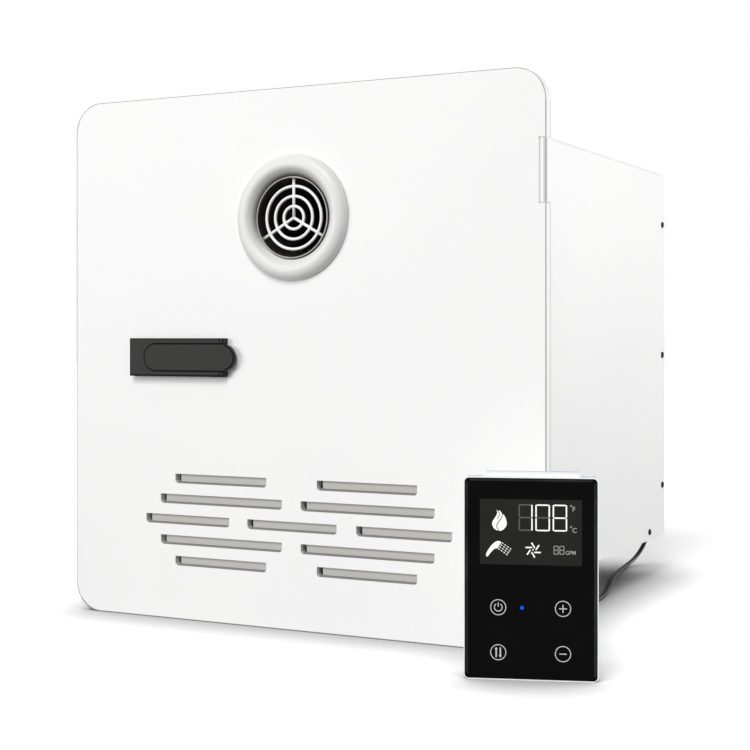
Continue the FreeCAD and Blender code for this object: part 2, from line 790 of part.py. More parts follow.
def make_hinges():
    """Two tabs on the flange, their pins, and the lugs of the door that turn on the pins."""
    tabs, pins, lugs = [], [], []
    side = "door_width / 2 + tab_proud"
    for tag, sign in (("upper", ""), ("lower", "-")):
        middle = f"{sign}hinge_z"
        tall = (f"{middle} - tab_height / 2", f"{middle} + tab_height / 2")
        knuckle = rod(f"tab_{tag}_knuckle", "z", "hinge_inset", tall, ("hinge_x", "hinge_y"))
        cheek = block(f"tab_{tag}_cheek", ("hinge_x", side), ("door_front", "hinge_y + hinge_inset"),
                      tall)
        leg = block(f"tab_{tag}_leg", (f"{side} - tab_sheet", side),
                    ("door_front", "-flange_sheet"), tall)
        foot = block(f"tab_{tag}_foot", (f"{side} - tab_foot", side),
                     ("-flange_sheet - tab_sheet", "-flange_sheet"), tall)
        bore = rod(f"tab_{tag}_bore", "z", "hinge_pin_radius + hinge_running_gap",
                   (f"{tall[0]} - 1", f"{tall[1]} + 1"), ("hinge_x", "hinge_y"))
        tabs.append(cut(f"hinge_tab_{tag}", fuse(f"tab_{tag}_bent", knuckle, cheek, leg, foot),
                        bore))
        beyond = "(tab_height / 2 + notch_gap)"
        pin_ends = (f"{middle} - {beyond} - lug_height", f"{middle} + {beyond} + lug_height")
        pins.append(rod(f"hinge_pin_{tag}", "z", "hinge_pin_radius", pin_ends,
                        ("hinge_x", "hinge_y")))
        for end, low, high in (("top", f"{middle} + {beyond}", pin_ends[1]),
                               ("foot", pin_ends[0], f"{middle} - {beyond}")):
            name = f"lug_{tag}_{end}"
            cheek = block(name + "_cheek", (f"{side} - tab_reach", "door_width / 2 - door_sheet"),
                          ("skin_back", "hinge_y + hinge_inset"), (low, high))
            seat = rod(name + "_seat", "z", "hinge_pin_radius", (f"{low} - 1", f"{high} + 1"),
                       ("hinge_x", "hinge_y"))
            lugs.append(cut(name, cheek, seat))
    node("hinge_tabs", group("hinge_tabs", *tabs))
    node("hinge_pins", group("hinge_pins", *pins))
    node("door_hinge_lugs", group("door_hinge_lugs", *lugs))


def make_door_seal():
    """Foam strip round the flange's opening, which the closed door covers."""
    deep = ("skin_back + seal_clear", "-flange_sheet")
    outer = block("seal_outer", ("-seal_inner - seal_width", "seal_inner + seal_width"), deep,
                  ("-seal_inner - seal_width", "seal_inner + seal_width"))
    inner = block("seal_hollow", ("-seal_inner", "seal_inner"),
                  ("skin_back - 1", "0"), ("-seal_inner", "seal_inner"))
    node("door_seal", cut("door_seal", outer, inner))


def make_exhaust_bezel():
    """The rounded ring round the flue, with a spigot through the door's skin."""
    body = new_body("exhaust_bezel")
    sketch = new_sketch(body, "bezel_section", "XY_Plane")
    bore = size("bezel_bore")
    outer = size("bezel_radius")
    crest = size("bezel_crest_radius")
    face = size("door_front")
    top = face - size("bezel_height")
    spigot = bore + 2.0
    back = size("skin_back")
    shoulder = face - 0.55 * size("bezel_height")
    inner_lip = face - 0.3 * size("bezel_height")
    points = {
        "outer": Vector(outer, face, 0), "crest": Vector(crest, top, 0),
        "lip": Vector(bore, inner_lip, 0), "bore": Vector(bore, back, 0),
        "spigot": Vector(spigot, back, 0), "seat": Vector(spigot, face, 0),
    }
    swell = Vector(outer - 0.12 * (outer - crest), shoulder, 0)
    funnel = Vector(crest - 0.55 * (crest - bore), face - 0.78 * size("bezel_height"), 0)
    sketch.addGeometry([
        Part.Arc(points["outer"], swell, points["crest"]),
        Part.Arc(points["crest"], funnel, points["lip"]),
        Part.LineSegment(points["lip"], points["bore"]),
        Part.LineSegment(points["bore"], points["spigot"]),
        Part.LineSegment(points["spigot"], points["seat"]),
        Part.LineSegment(points["seat"], points["outer"]),
    ], False)
    ring = body.newObject("PartDesign::Revolution", "bezel_ring")
    ring.Profile = sketch
    axis = next(item for item in body.Origin.OriginFeatures if item.Role == "Y_Axis")
    ring.ReferenceAxis = (axis, [""])
    ring.Angle = 360
    bind(body, "Placement.Base.z", "flue_z")
    node("exhaust_bezel", body)


def make_vent_baffle():
    """Frame of sloped slats behind the air slots, which keeps rain out."""
    left, right = "vent_x - slot_reach - baffle_margin", "vent_x + slot_reach + baffle_margin"
    front = "door_front + slot_lip"
    bars = []
    for tag, low, high in (("left", left, f"{left} + 3"), ("right", f"{right} - 3", right)):
        bars.append(block(f"baffle_bar_{tag}", (low, high), (front, f"{front} + 9"),
                          ("vent_z - 2.5 * slot_pitch + 1.5", "vent_z + 2.5 * slot_pitch")))
    start, end = number_of(left), number_of(right)
    face = number_of(front)
    sheet = size("baffle_sheet")
    for row in range(-2, 3):
        top = size("vent_z") - row * size("slot_pitch") + size("slot_height") / 2 + 1.5
        fall = size("slot_height") + 4.0
        section = Part.makePolygon([
            Vector(start, face + 0.2, top), Vector(start, face + 0.2 + sheet, top),
            Vector(start, face + 7.0 + sheet, top - fall), Vector(start, face + 7.0, top - fall),
            Vector(start, face + 0.2, top)])
        slat = Part.Face(section).extrude(Vector(end - start, 0, 0))
        bars.append(shape(f"baffle_slat_{'abcde'[row + 2]}", slat))
    node("vent_baffle", fuse("vent_baffle", *bars))


# --------------------------------------------------------------------------------------
# Paddle latch
# --------------------------------------------------------------------------------------
def stadium(name, x, half_height, y):
    """A bar with round ends, lying along X in front of the door."""
    left, right = x
    half_height = f"({half_height})"
    middle = block(name + "_middle", (f"{left} + {half_height}", f"{right} - {half_height}"), y,
                   (f"latch_z - {half_height}", f"latch_z + {half_height}"))
    ends = [rod(f"{name}_end_{tag}", "y", half_height, y, (place, "latch_z"))
            for tag, place in (("left", f"{left} + {half_height}"),
                               ("right", f"{right} - {half_height}"))]
    return fuse(name, middle, *ends)


def make_latch_base():
    """Face plate with the paddle's opening, and the box behind the door that guides the bolt."""
    face_z = ("latch_z - latch_height / 2", "latch_z + latch_height / 2")
    plate = block("latch_plate", ("latch_x - latch_length / 2", "latch_x + latch_length / 2"),
                  ("latch_front", "door_front"), face_z)
    opening = stadium("paddle_opening",
                      ("paddle_left - paddle_gap", "paddle_right + paddle_radius + paddle_gap"),
                      "paddle_radius + paddle_gap", ("latch_front - 1", "door_front"))
    box_z = ("latch_z - latch_box_height / 2", "latch_z + latch_box_height / 2")
    box = block("latch_box_outer", ("latch_box_left", "latch_box_right"),
                ("door_front", "latch_box_back"), box_z)
    hollow = block("latch_box_inner",
                   ("latch_box_left + latch_wall", "latch_box_right - latch_wall"),
                   ("door_front", "latch_box_back + 1"),
                   (f"{box_z[0]} + latch_wall", f"{box_z[1]} - latch_wall"))
    window = block("bolt_window", ("latch_box_left - 1", "latch_box_left + latch_wall + 1"),
                   ("bolt_front - bolt_gap", "latch_box_back + 1"),
                   ("latch_z - bolt_height / 2 - bolt_gap", "latch_z + bolt_height / 2 + bolt_gap"))
    pin_hole = rod("latch_pin_hole", "z", "latch_pin_radius",
                   ("latch_z - latch_height / 2 + 1", "latch_z + latch_height / 2 - 1"),
                   ("latch_pin_x", "latch_pin_y"))
    solid = fuse("latch_base_solid", plate, box)
    node("latch_base", cut("latch_base", solid, opening, hollow, window, pin_hole))


def make_latch_paddle():
    """The pull paddle, its hub on the pin, and the toe that draws the bolt."""
    skin = stadium("paddle_skin", ("paddle_left", "paddle_right"), "paddle_radius",
                   ("paddle_front", "paddle_front + paddle_sheet"))
    hub = rod("paddle_hub", "z", "paddle_sheet",
              ("latch_z - toe_height", "latch_z + toe_height"), ("latch_pin_x", "latch_pin_y"))
    shank = block("paddle_toe_shank",
                  ("latch_pin_x - toe_shank / 2", "latch_pin_x + toe_shank / 2"),
                  ("latch_pin_y", "latch_pin_y + toe_length"),
                  ("latch_z - toe_height / 2", "latch_z + toe_height / 2"))
    tip = rod("paddle_toe_tip", "z", "toe_radius",
              ("latch_z - toe_height / 2", "latch_z + toe_height / 2"),
              ("latch_pin_x", "latch_pin_y + toe_length"))
    bore = rod("paddle_bore", "z", "latch_pin_radius + latch_running_gap",
               ("latch_z - paddle_radius - 1", "latch_z + paddle_radius + 1"),
               ("latch_pin_x", "latch_pin_y"))
    node("latch_paddle", cut("latch_paddle", fuse("paddle_solid", skin, hub, shank, tip), bore))
    node("latch_pin", rod("latch_pin", "z", "latch_pin_radius",
                          ("latch_z - latch_height / 2 + 1", "latch_z + latch_height / 2 - 1"),
                          ("latch_pin_x", "latch_pin_y")))


def make_latch_bolt():
    """The sliding bolt with the slot for the toe, its return spring and the box's cover."""
    bolt_z = ("latch_z - bolt_height / 2", "latch_z + bolt_height / 2")
    bar = block("bolt_bar", ("bolt_tip_x", "bolt_right_x"),
                ("bolt_front", "bolt_front + bolt_thick"), bolt_z)
    half_slot = "toe_radius + bolt_slot_gap"
    slot = block("bolt_slot", (f"latch_pin_x - ({half_slot})", f"latch_pin_x + {half_slot}"),
                 ("bolt_front - 1", "latch_pin_y + toe_length + toe_radius + bolt_slot_gap"),
                 ("latch_z - toe_height / 2 - bolt_slot_gap", "latch_z + toe_height / 2 + bolt_slot_gap"))
    node("latch_bolt", cut("latch_bolt", bar, slot))
    cover = block("latch_cover_sheet", ("latch_box_left", "latch_box_right"),
                  ("latch_box_back", "latch_box_back + latch_wall"),
                  ("latch_z - latch_box_height / 2", "latch_z + latch_box_height / 2"))
    post = rod("latch_cover_post", "x", "latch_spring_radius - 1.3",
               ("bolt_right_x + latch_spring_length - 4", "bolt_right_x + latch_spring_length + 2"),
               ("bolt_front + bolt_thick / 2", "latch_z"))
    stop = block("latch_cover_stop",
                 ("bolt_right_x + latch_spring_length", "bolt_right_x + latch_spring_length + 2"),
                 ("bolt_front", "latch_box_back"), bolt_z)
    node("latch_cover", fuse("latch_cover", cover, stop, post))
    wire = size("latch_spring_wire")
    mean = size("latch_spring_radius") - wire
    length = size("latch_spring_length") - 2 * wire
    helix = Part.makeHelix(length / 7.0, length, mean)
    section = Part.Wire(Part.Circle(Vector(mean, 0, 0), Vector(0, 1, 0), wire).toShape())
    coil = Part.Wire(helix.Edges).makePipeShell([section], True, True)
    spring = shape("latch_spring", coil)
    spring.Placement = FreeCAD.Placement(Vector(), TURN_TO_AXIS["x"])
    bind(spring, "Placement.Base.x", "bolt_right_x + latch_spring_wire")
    bind(spring, "Placement.Base.y", "bolt_front + bolt_thick / 2")
    bind(spring, "Placement.Base.z", "latch_z")
    node("latch_spring", spring)


def make_striker():
    """Bent plate inside the collar whose lip holds the bolt."""
    wall = "-case_inner_x + flange_sheet"
    tall = ("latch_z - striker_height / 2", "latch_z + striker_height / 2")
    leg = block("striker_leg", (wall, f"{wall} + striker_sheet"), ("-flange_sheet", "collar_depth - 4"),
                tall)
    lip = block("striker_bent_lip", (wall, f"{wall} + striker_sheet + striker_lip"),
                ("-flange_sheet", "-flange_sheet + striker_sheet"), tall)
    node("striker_plate", fuse("striker_plate", leg, lip))


# --------------------------------------------------------------------------------------
# Flue, hood, heat exchanger, combustion chamber and burner
# --------------------------------------------------------------------------------------
STACK_X = ("-stack_half_width", "stack_half_width")
STACK_Y = ("stack_front", "stack_back")


def make_flue():
    """Round tube from the hood to the front, and the wire guard in its mouth."""
    ends = ("door_front - flue_proud", "stack_front + stack_sheet")
    outer = rod("flue_outer", "y", "flue_radius", ends, ("0", "flue_z"))
    inner = rod("flue_inner", "y", "flue_radius - flue_wall",
                ("door_front - flue_proud - 1", "stack_front + stack_sheet + 1"), ("0", "flue_z"))
    node("flue_tube", cut("flue_tube", outer, inner))

    wire = size("guard_wire_radius")
    depth = size("door_front") + size("guard_inset") + wire
    centre = Vector(0, depth, size("flue_z"))
    reach = size("flue_radius") - size("flue_wall") + 0.02
    pieces = [Part.makeTorus(size("guard_ring_" + name), wire, centre, Vector(0, 1, 0))
              for name in ("small", "middle", "large")]
    for degrees in (90, 210, 330):
        way = Vector(math.cos(math.radians(degrees)), 0, math.sin(math.radians(degrees)))
        pieces.append(Part.makeCylinder(wire, reach, centre, way))
    hub = Part.makeSphere(wire, centre)
    solid = hub.multiFuse(pieces)
    bore = Part.makeCylinder(reach, 4 * wire, centre - Vector(0, 2 * wire, 0), Vector(0, 1, 0))
    node("exhaust_guard", shape("exhaust_guard", solid.common(bore)))


def make_hood():
    """Sheet hood over the heat exchanger, with the collar that takes the flue tube."""
    box = shell_box("hood_box", STACK_X, STACK_Y, ("hood_low", "hood_top"), "stack_sheet", ("-z",))
    collar = rod("hood_collar", "y", "flue_radius + 2", ("stack_front - 8", "stack_front"),
                 ("0", "flue_z"))
    bore = rod("hood_bore", "y", "flue_radius", ("stack_front - 9", "stack_front + stack_sheet"),
               ("0", "flue_z"))
    mouth = rod("hood_mouth", "y", "flue_radius - flue_wall",
                ("stack_front - 9", "stack_front + 3"), ("0", "flue_z"))
    node("flue_hood", cut("flue_hood", fuse("hood_solid", box, collar), bore, mouth))


def tube_places():
    """Y of each straight run of the water tube, from the front to the back."""
    middle = "(stack_front + stack_back) / 2"
    return [f"{middle} + {offset} * water_tube_pitch" for offset in (-1.5, -0.5, 0.5, 1.5)]


def make_heat_exchanger():
    """Copper casing, its fins, and the water tube that passes through them four times."""
    drills = [rod(f"exchanger_drill_{index}", "x", "water_tube_radius",
                  ("-stack_half_width - 1", "stack_half_width + 1"), (place, "water_tube_z"))
              for index, place in enumerate(tube_places())]
    case = shell_box("exchanger_box", STACK_X, STACK_Y, ("exchanger_low", "hood_low"),
                     "stack_sheet", ("-z", "+z"))
    node("heat_exchanger", cut("heat_exchanger", case, *drills))
    count = int(size("fin_count"))
    span = "2 * (stack_half_width - stack_sheet)"
    fins = []
    for index in range(count):
        place = f"-stack_half_width + stack_sheet + {span} * {index + 0.5} / fin_count"
        fins.append(block(f"fin_{index}", (f"{place} - fin_sheet / 2", f"{place} + fin_sheet / 2"),
                          ("stack_front + stack_sheet", "stack_back - stack_sheet"),
                          ("exchanger_low + 6", "hood_low - 6")))
    holes = [rod(f"fin_drill_{index}", "x", "water_tube_radius",
                 ("-stack_half_width - 1", "stack_half_width + 1"), (place, "water_tube_z"))
             for index, place in enumerate(tube_places())]
    node("exchanger_fins", cut("exchanger_fins", group("fin_stack", *fins), *holes))

    pitch = size("water_tube_pitch")
    level = size("water_tube_z")
    turn = size("stack_half_width") + 4.0
    end = turn + 12.0
    first = size("cold_tube_y")
    edges = []
    place = Vector(end, first, level)
    side = -1
    for run in range(4):
        last = run == 3
        stop = Vector(end if last else side * turn, first - run * pitch, level)
        edges.append(Part.LineSegment(place, stop).toShape())
        if not last:
            middle = stop + Vector(side * pitch / 2, -pitch / 2, 0)
            place = stop + Vector(0, -pitch, 0)
            edges.append(Part.Arc(stop, middle, place).toShape())
        side = -side
    path = Part.Wire(edges)

    def swept(radius):
        ring = Part.Wire(Part.Circle(Vector(end, first, level), Vector(-1, 0, 0), radius).toShape())
        return path.makePipeShell([ring], True, False)

    tube = swept(size("water_tube_radius")).cut(swept(size("water_tube_bore")))
    node("water_tube", shape("water_tube", tube))


def make_chamber_and_burner():
    """Combustion chamber walls, the burner box under them and its row of burner rails."""
    chamber = shell_box("chamber_box", STACK_X, STACK_Y, ("chamber_low", "exchanger_low"),
                        "stack_sheet", ("-z", "+z"))
    ports = [rod(f"electrode_port_{index}", "y", "insulator_radius",
                 ("stack_front - 1", "stack_front + 3"), (place, "electrode_z"))
             for index, place in enumerate(ELECTRODE_X)]
    node("combustion_chamber", cut("combustion_chamber", chamber, *ports))

    box = shell_box("burner_case", STACK_X, STACK_Y, ("burner_low", "chamber_low"),
                    "stack_sheet", ("+z",))
    air_way = block("burner_air_way", ("-stack_half_width - 1", "-stack_half_width + 3"),
                    ("blower_front + blower_wall", "blower_back - blower_wall"),
                    ("duct_low + blower_wall", "duct_low + duct_height - blower_wall"))
    nozzle_holes = [rod(f"nozzle_hole_{index}", "y", "nozzle_radius",
                        ("stack_front - 1", "stack_front + 3"), (place, "manifold_z"))
                    for index, place in enumerate(rail_places())]
    node("burner_box", cut("burner_box", box, air_way, *nozzle_holes))

    rails = []
    for index, place in enumerate(rail_places()):
        bar = block(f"rail_bar_{index}", (f"{place} - rail_width / 2", f"{place} + rail_width / 2"),
                    ("stack_front + stack_sheet", "stack_back - stack_sheet"),
                    ("rail_top - rail_height", "rail_top"))
        slot = block(f"rail_slot_{index}", (f"{place} - rail_slot / 2", f"{place} + rail_slot / 2"),
                     ("stack_front + 8", "stack_back - 8"), ("rail_top - 12", "rail_top + 1"))
        throat = rod(f"rail_throat_{index}", "y", "nozzle_radius + 1.5",
                     ("stack_front", "stack_back - 30"), (place, "manifold_z"))
        rails.append(cut(f"rail_{index}", bar, slot, throat))
    node("burner_rails", group("burner_rails", *rails))


ELECTRODE_X = ["-22", "0", "22"]


def rail_places():
    """X of each burner rail, spread evenly about the middle."""
    count = int(size("rail_count"))
    return [f"rail_pitch * {index - (count - 1) / 2}" for index in range(count)]


def make_electrodes():
    """Two spark electrodes and the flame sensor, each in its ceramic sleeve."""
    pieces = []
    for index, place in enumerate(ELECTRODE_X):
        sleeve = rod(f"electrode_sleeve_{index}", "y", "insulator_radius",
                     ("stack_front - 22", "stack_front + 6"), (place, "electrode_z"))
        wire = rod(f"electrode_wire_{index}", "y", "electrode_radius",
                   ("stack_front - 28", "stack_front + 40"), (place, "electrode_z"))
        pieces.append(fuse(f"electrode_{index}", sleeve, wire))
    node("electrodes", group("electrodes", *pieces))
    can = rod("cutout_can", "y", "8", ("stack_front - 5", "stack_front"), ("-44", "water_tube_z"))
    ears = block("cutout_ears", ("-56", "-32"), ("stack_front - 1.2", "stack_front"),
                 ("water_tube_z - 4", "water_tube_z + 4"))
    node("overheat_cutout", fuse("overheat_cutout", can, ears))


# --------------------------------------------------------------------------------------
# Gas train
# --------------------------------------------------------------------------------------
def make_gas_train():
    """Inlet fitting, pipe, valve with two solenoids, and the manifold with its nozzles."""
    bar = rod("manifold_bar", "x", "manifold_radius", ("-rail_pitch * 4", "valve_left"),
              ("manifold_y", "manifold_z"))
    nozzles = [rod(f"nozzle_{index}", "y", "nozzle_radius",
                   ("manifold_y", "stack_front + stack_sheet"), (place, "manifold_z"))
               for index, place in enumerate(rail_places())]
    node("gas_manifold", fuse("gas_manifold", bar, *nozzles))

    block_body = block("valve_block", ("valve_left", "valve_right"), ("valve_front", "valve_back"),
                       ("valve_low", "valve_high"))
    cap = rod("valve_test_cap", "y", "7", ("valve_front - 6", "valve_front"),
              ("valve_left + 15", "valve_low + 16"))
    screw = rod("valve_adjuster", "y", "4.5", ("valve_front - 9", "valve_front"),
                ("valve_right - 14", "valve_low + 16"))
    node("gas_valve", fuse("gas_valve", block_body, cap, screw))
    coils = []
    for tag, x in (("front", "valve_left + 13"), ("back", "valve_right - 13")):
        centre = (x, "(valve_front + valve_back) / 2")
        coil = rod(f"solenoid_{tag}_coil", "z", "solenoid_radius",
                   ("valve_high", "valve_high + solenoid_height"), centre)
        nut = rod(f"solenoid_{tag}_nut", "z", "4.5",
                  ("valve_high + solenoid_height", "valve_high + solenoid_height + 5"), centre)
        coils.append(fuse(f"solenoid_{tag}", coil, nut))
    node("gas_solenoids", group("gas_solenoids", *coils))

    centre = ("gas_x", "manifold_z")
    outer = rod("gas_pipe_outer", "y", "gas_pipe_radius", ("valve_back", "case_depth - 18"), centre)
    inner = rod("gas_pipe_inner", "y", "gas_pipe_bore", ("valve_back - 1", "case_depth - 17"), centre)
    node("gas_pipe", cut("gas_pipe", outer, inner))


def port(name, centre, radius, start, bore):
    """A pipe fitting through the back panel: hexagon inside, plain threaded end outside."""
    inside = rod(name + "_inside", "y", f"{radius} + 3", (start, "case_depth - case_sheet"), centre)
    nut = rod(name + "_nut", "y", f"{radius} + 3", ("case_depth", "case_depth + port_nut"), centre)
    outside = rod(name + "_outside", "y", radius, ("case_depth - 2", "case_depth + port_reach"),
                  centre)
    through = rod(name + "_through", "y", bore, (f"{start} - 1", "case_depth + port_reach + 1"),
                  centre)
    return cut(name, fuse(name + "_solid", inside, nut, outside), through)


def make_pipe_fittings():
    """The threaded ends for cold water, hot water and gas, which face the wall's pipes."""
    cold = port("cold_fitting", ("cold_x", "cold_z"), "water_port_radius", "sensor_back",
                "water_tube_bore")
    hot = port("hot_fitting", ("hot_x", "water_tube_z"), "water_port_radius", "case_depth - 18",
               "water_tube_bore")
    gas = port("gas_fitting", ("gas_x", "manifold_z"), "gas_port_radius", "case_depth - 18",
               "gas_pipe_bore")
    node("pipe_fittings", group("pipe_fittings", cold, hot, gas))


# --------------------------------------------------------------------------------------
# Combustion air blower
# --------------------------------------------------------------------------------------
def make_blower():
    """Scroll housing with its duct to the burner box, the wheel on its shaft, and the motor."""
    centre = ("blower_x", "blower_z")
    depth = ("blower_front", "blower_back")
    inner_depth = ("blower_front + blower_wall", "blower_back - blower_wall")
    duct_z = ("duct_low", "duct_low + duct_height")
    scroll = rod("scroll_outer", "y", "blower_radius", depth, centre)
    duct = block("duct_outer", ("blower_x", "-stack_half_width"), depth, duct_z)
    scroll_inside = rod("scroll_inner", "y", "blower_radius - blower_wall", inner_depth, centre)
    duct_inside = block("duct_inner", ("blower_x", "-stack_half_width + 1"), inner_depth,
                        ("duct_low + blower_wall", "duct_low + duct_height - blower_wall"))
    inlet = rod("blower_inlet", "y", "blower_inlet_radius",
                ("blower_front - 1", "blower_front + blower_wall + 1"), centre)
    shaft_hole = rod("blower_shaft_hole", "y", "blower_shaft_radius + 1",
                     ("blower_back - blower_wall - 1", "blower_back + 1"), centre)
    node("blower_housing", cut("blower_housing", fuse("scroll_solid", scroll, duct),
                               scroll_inside, duct_inside, inlet, shaft_hole))

    body = new_body("blower_wheel")
    disc = new_sketch(body, "wheel_disc_outline", "XZ_Plane", "-wheel_back")
    draw_circle(disc, "disc", "wheel_radius", ("0", "0"))
    pad(body, "wheel_disc", disc, "1.2")
    hub = new_sketch(body, "wheel_hub_outline", "XZ_Plane", "-wheel_back")
    draw_circle(hub, "hub", "wheel_hub_radius", ("0", "0"))
    pad(body, "wheel_hub", hub, "14")
    shaft = new_sketch(body, "wheel_shaft_outline", "XZ_Plane", "-wheel_back")
    draw_circle(shaft, "shaft", "blower_shaft_radius", ("0", "0"))
    pad(body, "wheel_shaft", shaft, "motor_length * 0.5 + blower_back - wheel_back", backwards=True)
    rim = new_sketch(body, "wheel_rim_outline", "XZ_Plane", "-(wheel_front + 1.5)")
    draw_circle(rim, "rim_outer", "wheel_radius", ("0", "0"))
    draw_circle(rim, "rim_inner", "wheel_radius - 5", ("0", "0"))
    blade = new_sketch(body, "wheel_blade_outline", "XZ_Plane", "-wheel_back")
    draw_rectangle(blade, "blade", ("wheel_radius - 4.6", "wheel_radius - 0.4"), ("-0.5", "0.5"))
    blade_pad = pad(body, "wheel_blade", blade, "wheel_back - wheel_front - 0.2")
    DOC.recompute()
    ring = body.newObject("PartDesign::PolarPattern", "wheel_blades")
    ring.Originals = [blade_pad]
    axis = next(item for item in body.Origin.OriginFeatures if item.Role == "Y_Axis")
    ring.Axis = (axis, [""])
    ring.Angle = 360
    bind(ring, "Occurrences", "wheel_blades")
    body.Tip = ring
    DOC.recompute()
    pad(body, "wheel_rim", rim, "1.5")
    bind(body, "Placement.Base.x", "blower_x")
    bind(body, "Placement.Base.z", "blower_z")
    node("blower_wheel", body)

    can = rod("motor_can", "y", "motor_radius", ("blower_back", "blower_back + motor_length"), centre)
    bearing = rod("motor_bore", "y", "blower_shaft_radius + shaft_running_gap",
                  ("blower_back - 1", "blower_back + motor_length * 0.5 + 1"), centre)
    boss = rod("motor_boss", "y", "10", ("blower_back + motor_length",
                                         "blower_back + motor_length + 4"), centre)
    node("blower_motor", cut("blower_motor", fuse("motor_solid", can, boss), bearing))


# --------------------------------------------------------------------------------------
# Water train
# --------------------------------------------------------------------------------------
def make_water_train():
    """Cold inlet through the flow sensor to the exchanger, and the hot pipe back out."""
    level = size("water_tube_z")
    tube_end = size("stack_half_width") + 16.0
    cold_y = size("cold_tube_y")
    cold_x, cold_z, riser = size("cold_x"), size("cold_z"), size("riser_x")
    radius, bore = size("water_tube_radius"), size("water_tube_bore")
    bend = 2.0 * radius
    cold = [Vector(cold_x, size("sensor_front"), cold_z), Vector(cold_x, cold_y, cold_z),
            Vector(riser, cold_y, cold_z), Vector(riser, cold_y, level),
            Vector(tube_end, cold_y, level)]
    node("cold_pipe", bent_tube("cold_pipe", cold, radius, bore, [bend, bend, bend]))
    hot = [Vector(tube_end, size("hot_tube_y"), level),
           Vector(size("hot_x"), size("hot_tube_y"), level),
           Vector(size("hot_x"), size("case_depth") - 18.0, level)]
    node("hot_pipe", bent_tube("hot_pipe", hot, radius, bore, [bend]))

    centre = ("cold_x", "cold_z")
    case = rod("sensor_case", "y", "sensor_radius", ("sensor_front", "sensor_back"), centre)
    cap = block("sensor_cap", ("cold_x - 8", "cold_x + 8"), ("sensor_front + 14", "sensor_back - 14"),
                ("cold_z", "cold_z + sensor_radius + 5"))
    bore_cut = rod("sensor_bore", "y", "turbine_radius + 0.8",
                   ("sensor_front + 8", "sensor_back - 8"), centre)
    ways = rod("sensor_ways", "y", "water_tube_bore", ("sensor_front - 1", "sensor_back + 1"),
               centre)
    hollow = cut("sensor_hollow", fuse("sensor_outside", case, cap), bore_cut, ways)
    middle = "(sensor_front + sensor_back) / 2"
    webs = []
    for tag, low in (("front", f"{middle} - turbine_length / 2 - 4"),
                     ("back", f"{middle} + turbine_length / 2 + 1")):
        webs.append(block(f"sensor_web_{tag}", ("cold_x - 1", "cold_x + 1"), (low, f"{low} + 3"),
                          ("cold_z - turbine_radius - 2", "cold_z + turbine_radius + 2")))
    spindle = rod("sensor_spindle", "y", "turbine_pin_radius",
                  (f"{middle} - turbine_length / 2 - 3", f"{middle} + turbine_length / 2 + 3"),
                  centre)
    node("flow_sensor", fuse("flow_sensor", hollow, spindle, *webs))
    hub = rod("turbine_hub", "y", "3", (f"{middle} - turbine_length / 2",
                                       f"{middle} + turbine_length / 2"), centre)
    blades = [
        block("turbine_blades_flat", ("cold_x - turbine_radius", "cold_x + turbine_radius"),
              (f"{middle} - 3", f"{middle} + 3"), ("cold_z - 0.6", "cold_z + 0.6")),
        block("turbine_blades_upright", ("cold_x - 0.6", "cold_x + 0.6"),
              (f"{middle} - 3", f"{middle} + 3"),
              ("cold_z - turbine_radius", "cold_z + turbine_radius")),
    ]
    turbine_bore = rod("turbine_bore", "y", "turbine_pin_radius + shaft_running_gap",
                       (f"{middle} - turbine_length", f"{middle} + turbine_length"), centre)
    node("flow_turbine", cut("flow_turbine", fuse("turbine_solid", hub, *blades), turbine_bore))


RELIEF_Y = "(stack_front + stack_back) / 2 + 6"


def make_relief_valve():
    """Pressure relief valve on a saddle over the hot pipe, with its test lever."""
    saddle = block("relief_saddle", ("hot_x - 9", "hot_x + 9"), (f"{RELIEF_Y} - 9", f"{RELIEF_Y} + 9"),
                   ("water_tube_z - 2", "water_tube_z + 10"))
    column = rod("relief_column", "z", "relief_radius - 2", ("water_tube_z + 8", "water_tube_z + 30"),
                 ("hot_x", RELIEF_Y))
    spout = rod("relief_spout", "y", "5", (f"{RELIEF_Y} - 26", RELIEF_Y), ("hot_x", "water_tube_z + 20"))
    cheeks = [block(f"relief_cheek_{tag}", x, (f"{RELIEF_Y} - 5", f"{RELIEF_Y} + 3"),
                    ("water_tube_z + 28", "water_tube_z + 40"))
              for tag, x in (("left", ("hot_x - 8", "hot_x - 5")),
                             ("right", ("hot_x + 5", "hot_x + 8")))]
    pin = rod("relief_pin", "x", "1.25", ("hot_x - 8", "hot_x + 8"),
              (f"{RELIEF_Y} - 1", "water_tube_z + 36"))
    pipe = rod("relief_seat", "y", "water_tube_radius", (f"{RELIEF_Y} - 30", f"{RELIEF_Y} + 30"),
               ("hot_x", "water_tube_z"))
    solid = fuse("relief_solid", saddle, column, spout, *cheeks, pin)
    node("relief_valve", cut("relief_valve", solid, pipe))
    arm = block("lever_arm", ("hot_x - 4.6", "hot_x + 4.6"), (f"{RELIEF_Y} - 24", f"{RELIEF_Y} + 2"),
                ("water_tube_z + 34.5", "water_tube_z + 37.5"))
    eye = rod("lever_eye", "x", "3.2", ("hot_x - 4.6", "hot_x + 4.6"),
              (f"{RELIEF_Y} - 1", "water_tube_z + 36"))
    grip = rod("lever_grip", "x", "3.2", ("hot_x - 4.6", "hot_x + 4.6"),
               (f"{RELIEF_Y} - 24", "water_tube_z + 36"))
    bore = rod("lever_bore", "x", "1.25 + shaft_running_gap", ("hot_x - 6", "hot_x + 6"),
               (f"{RELIEF_Y} - 1", "water_tube_z + 36"))
    node("relief_lever", cut("relief_lever", fuse("lever_solid", arm, eye, grip), bore))


# --------------------------------------------------------------------------------------
# Controls inside the casing
# --------------------------------------------------------------------------------------
SWITCH_X = "(control_left + control_right) / 2"


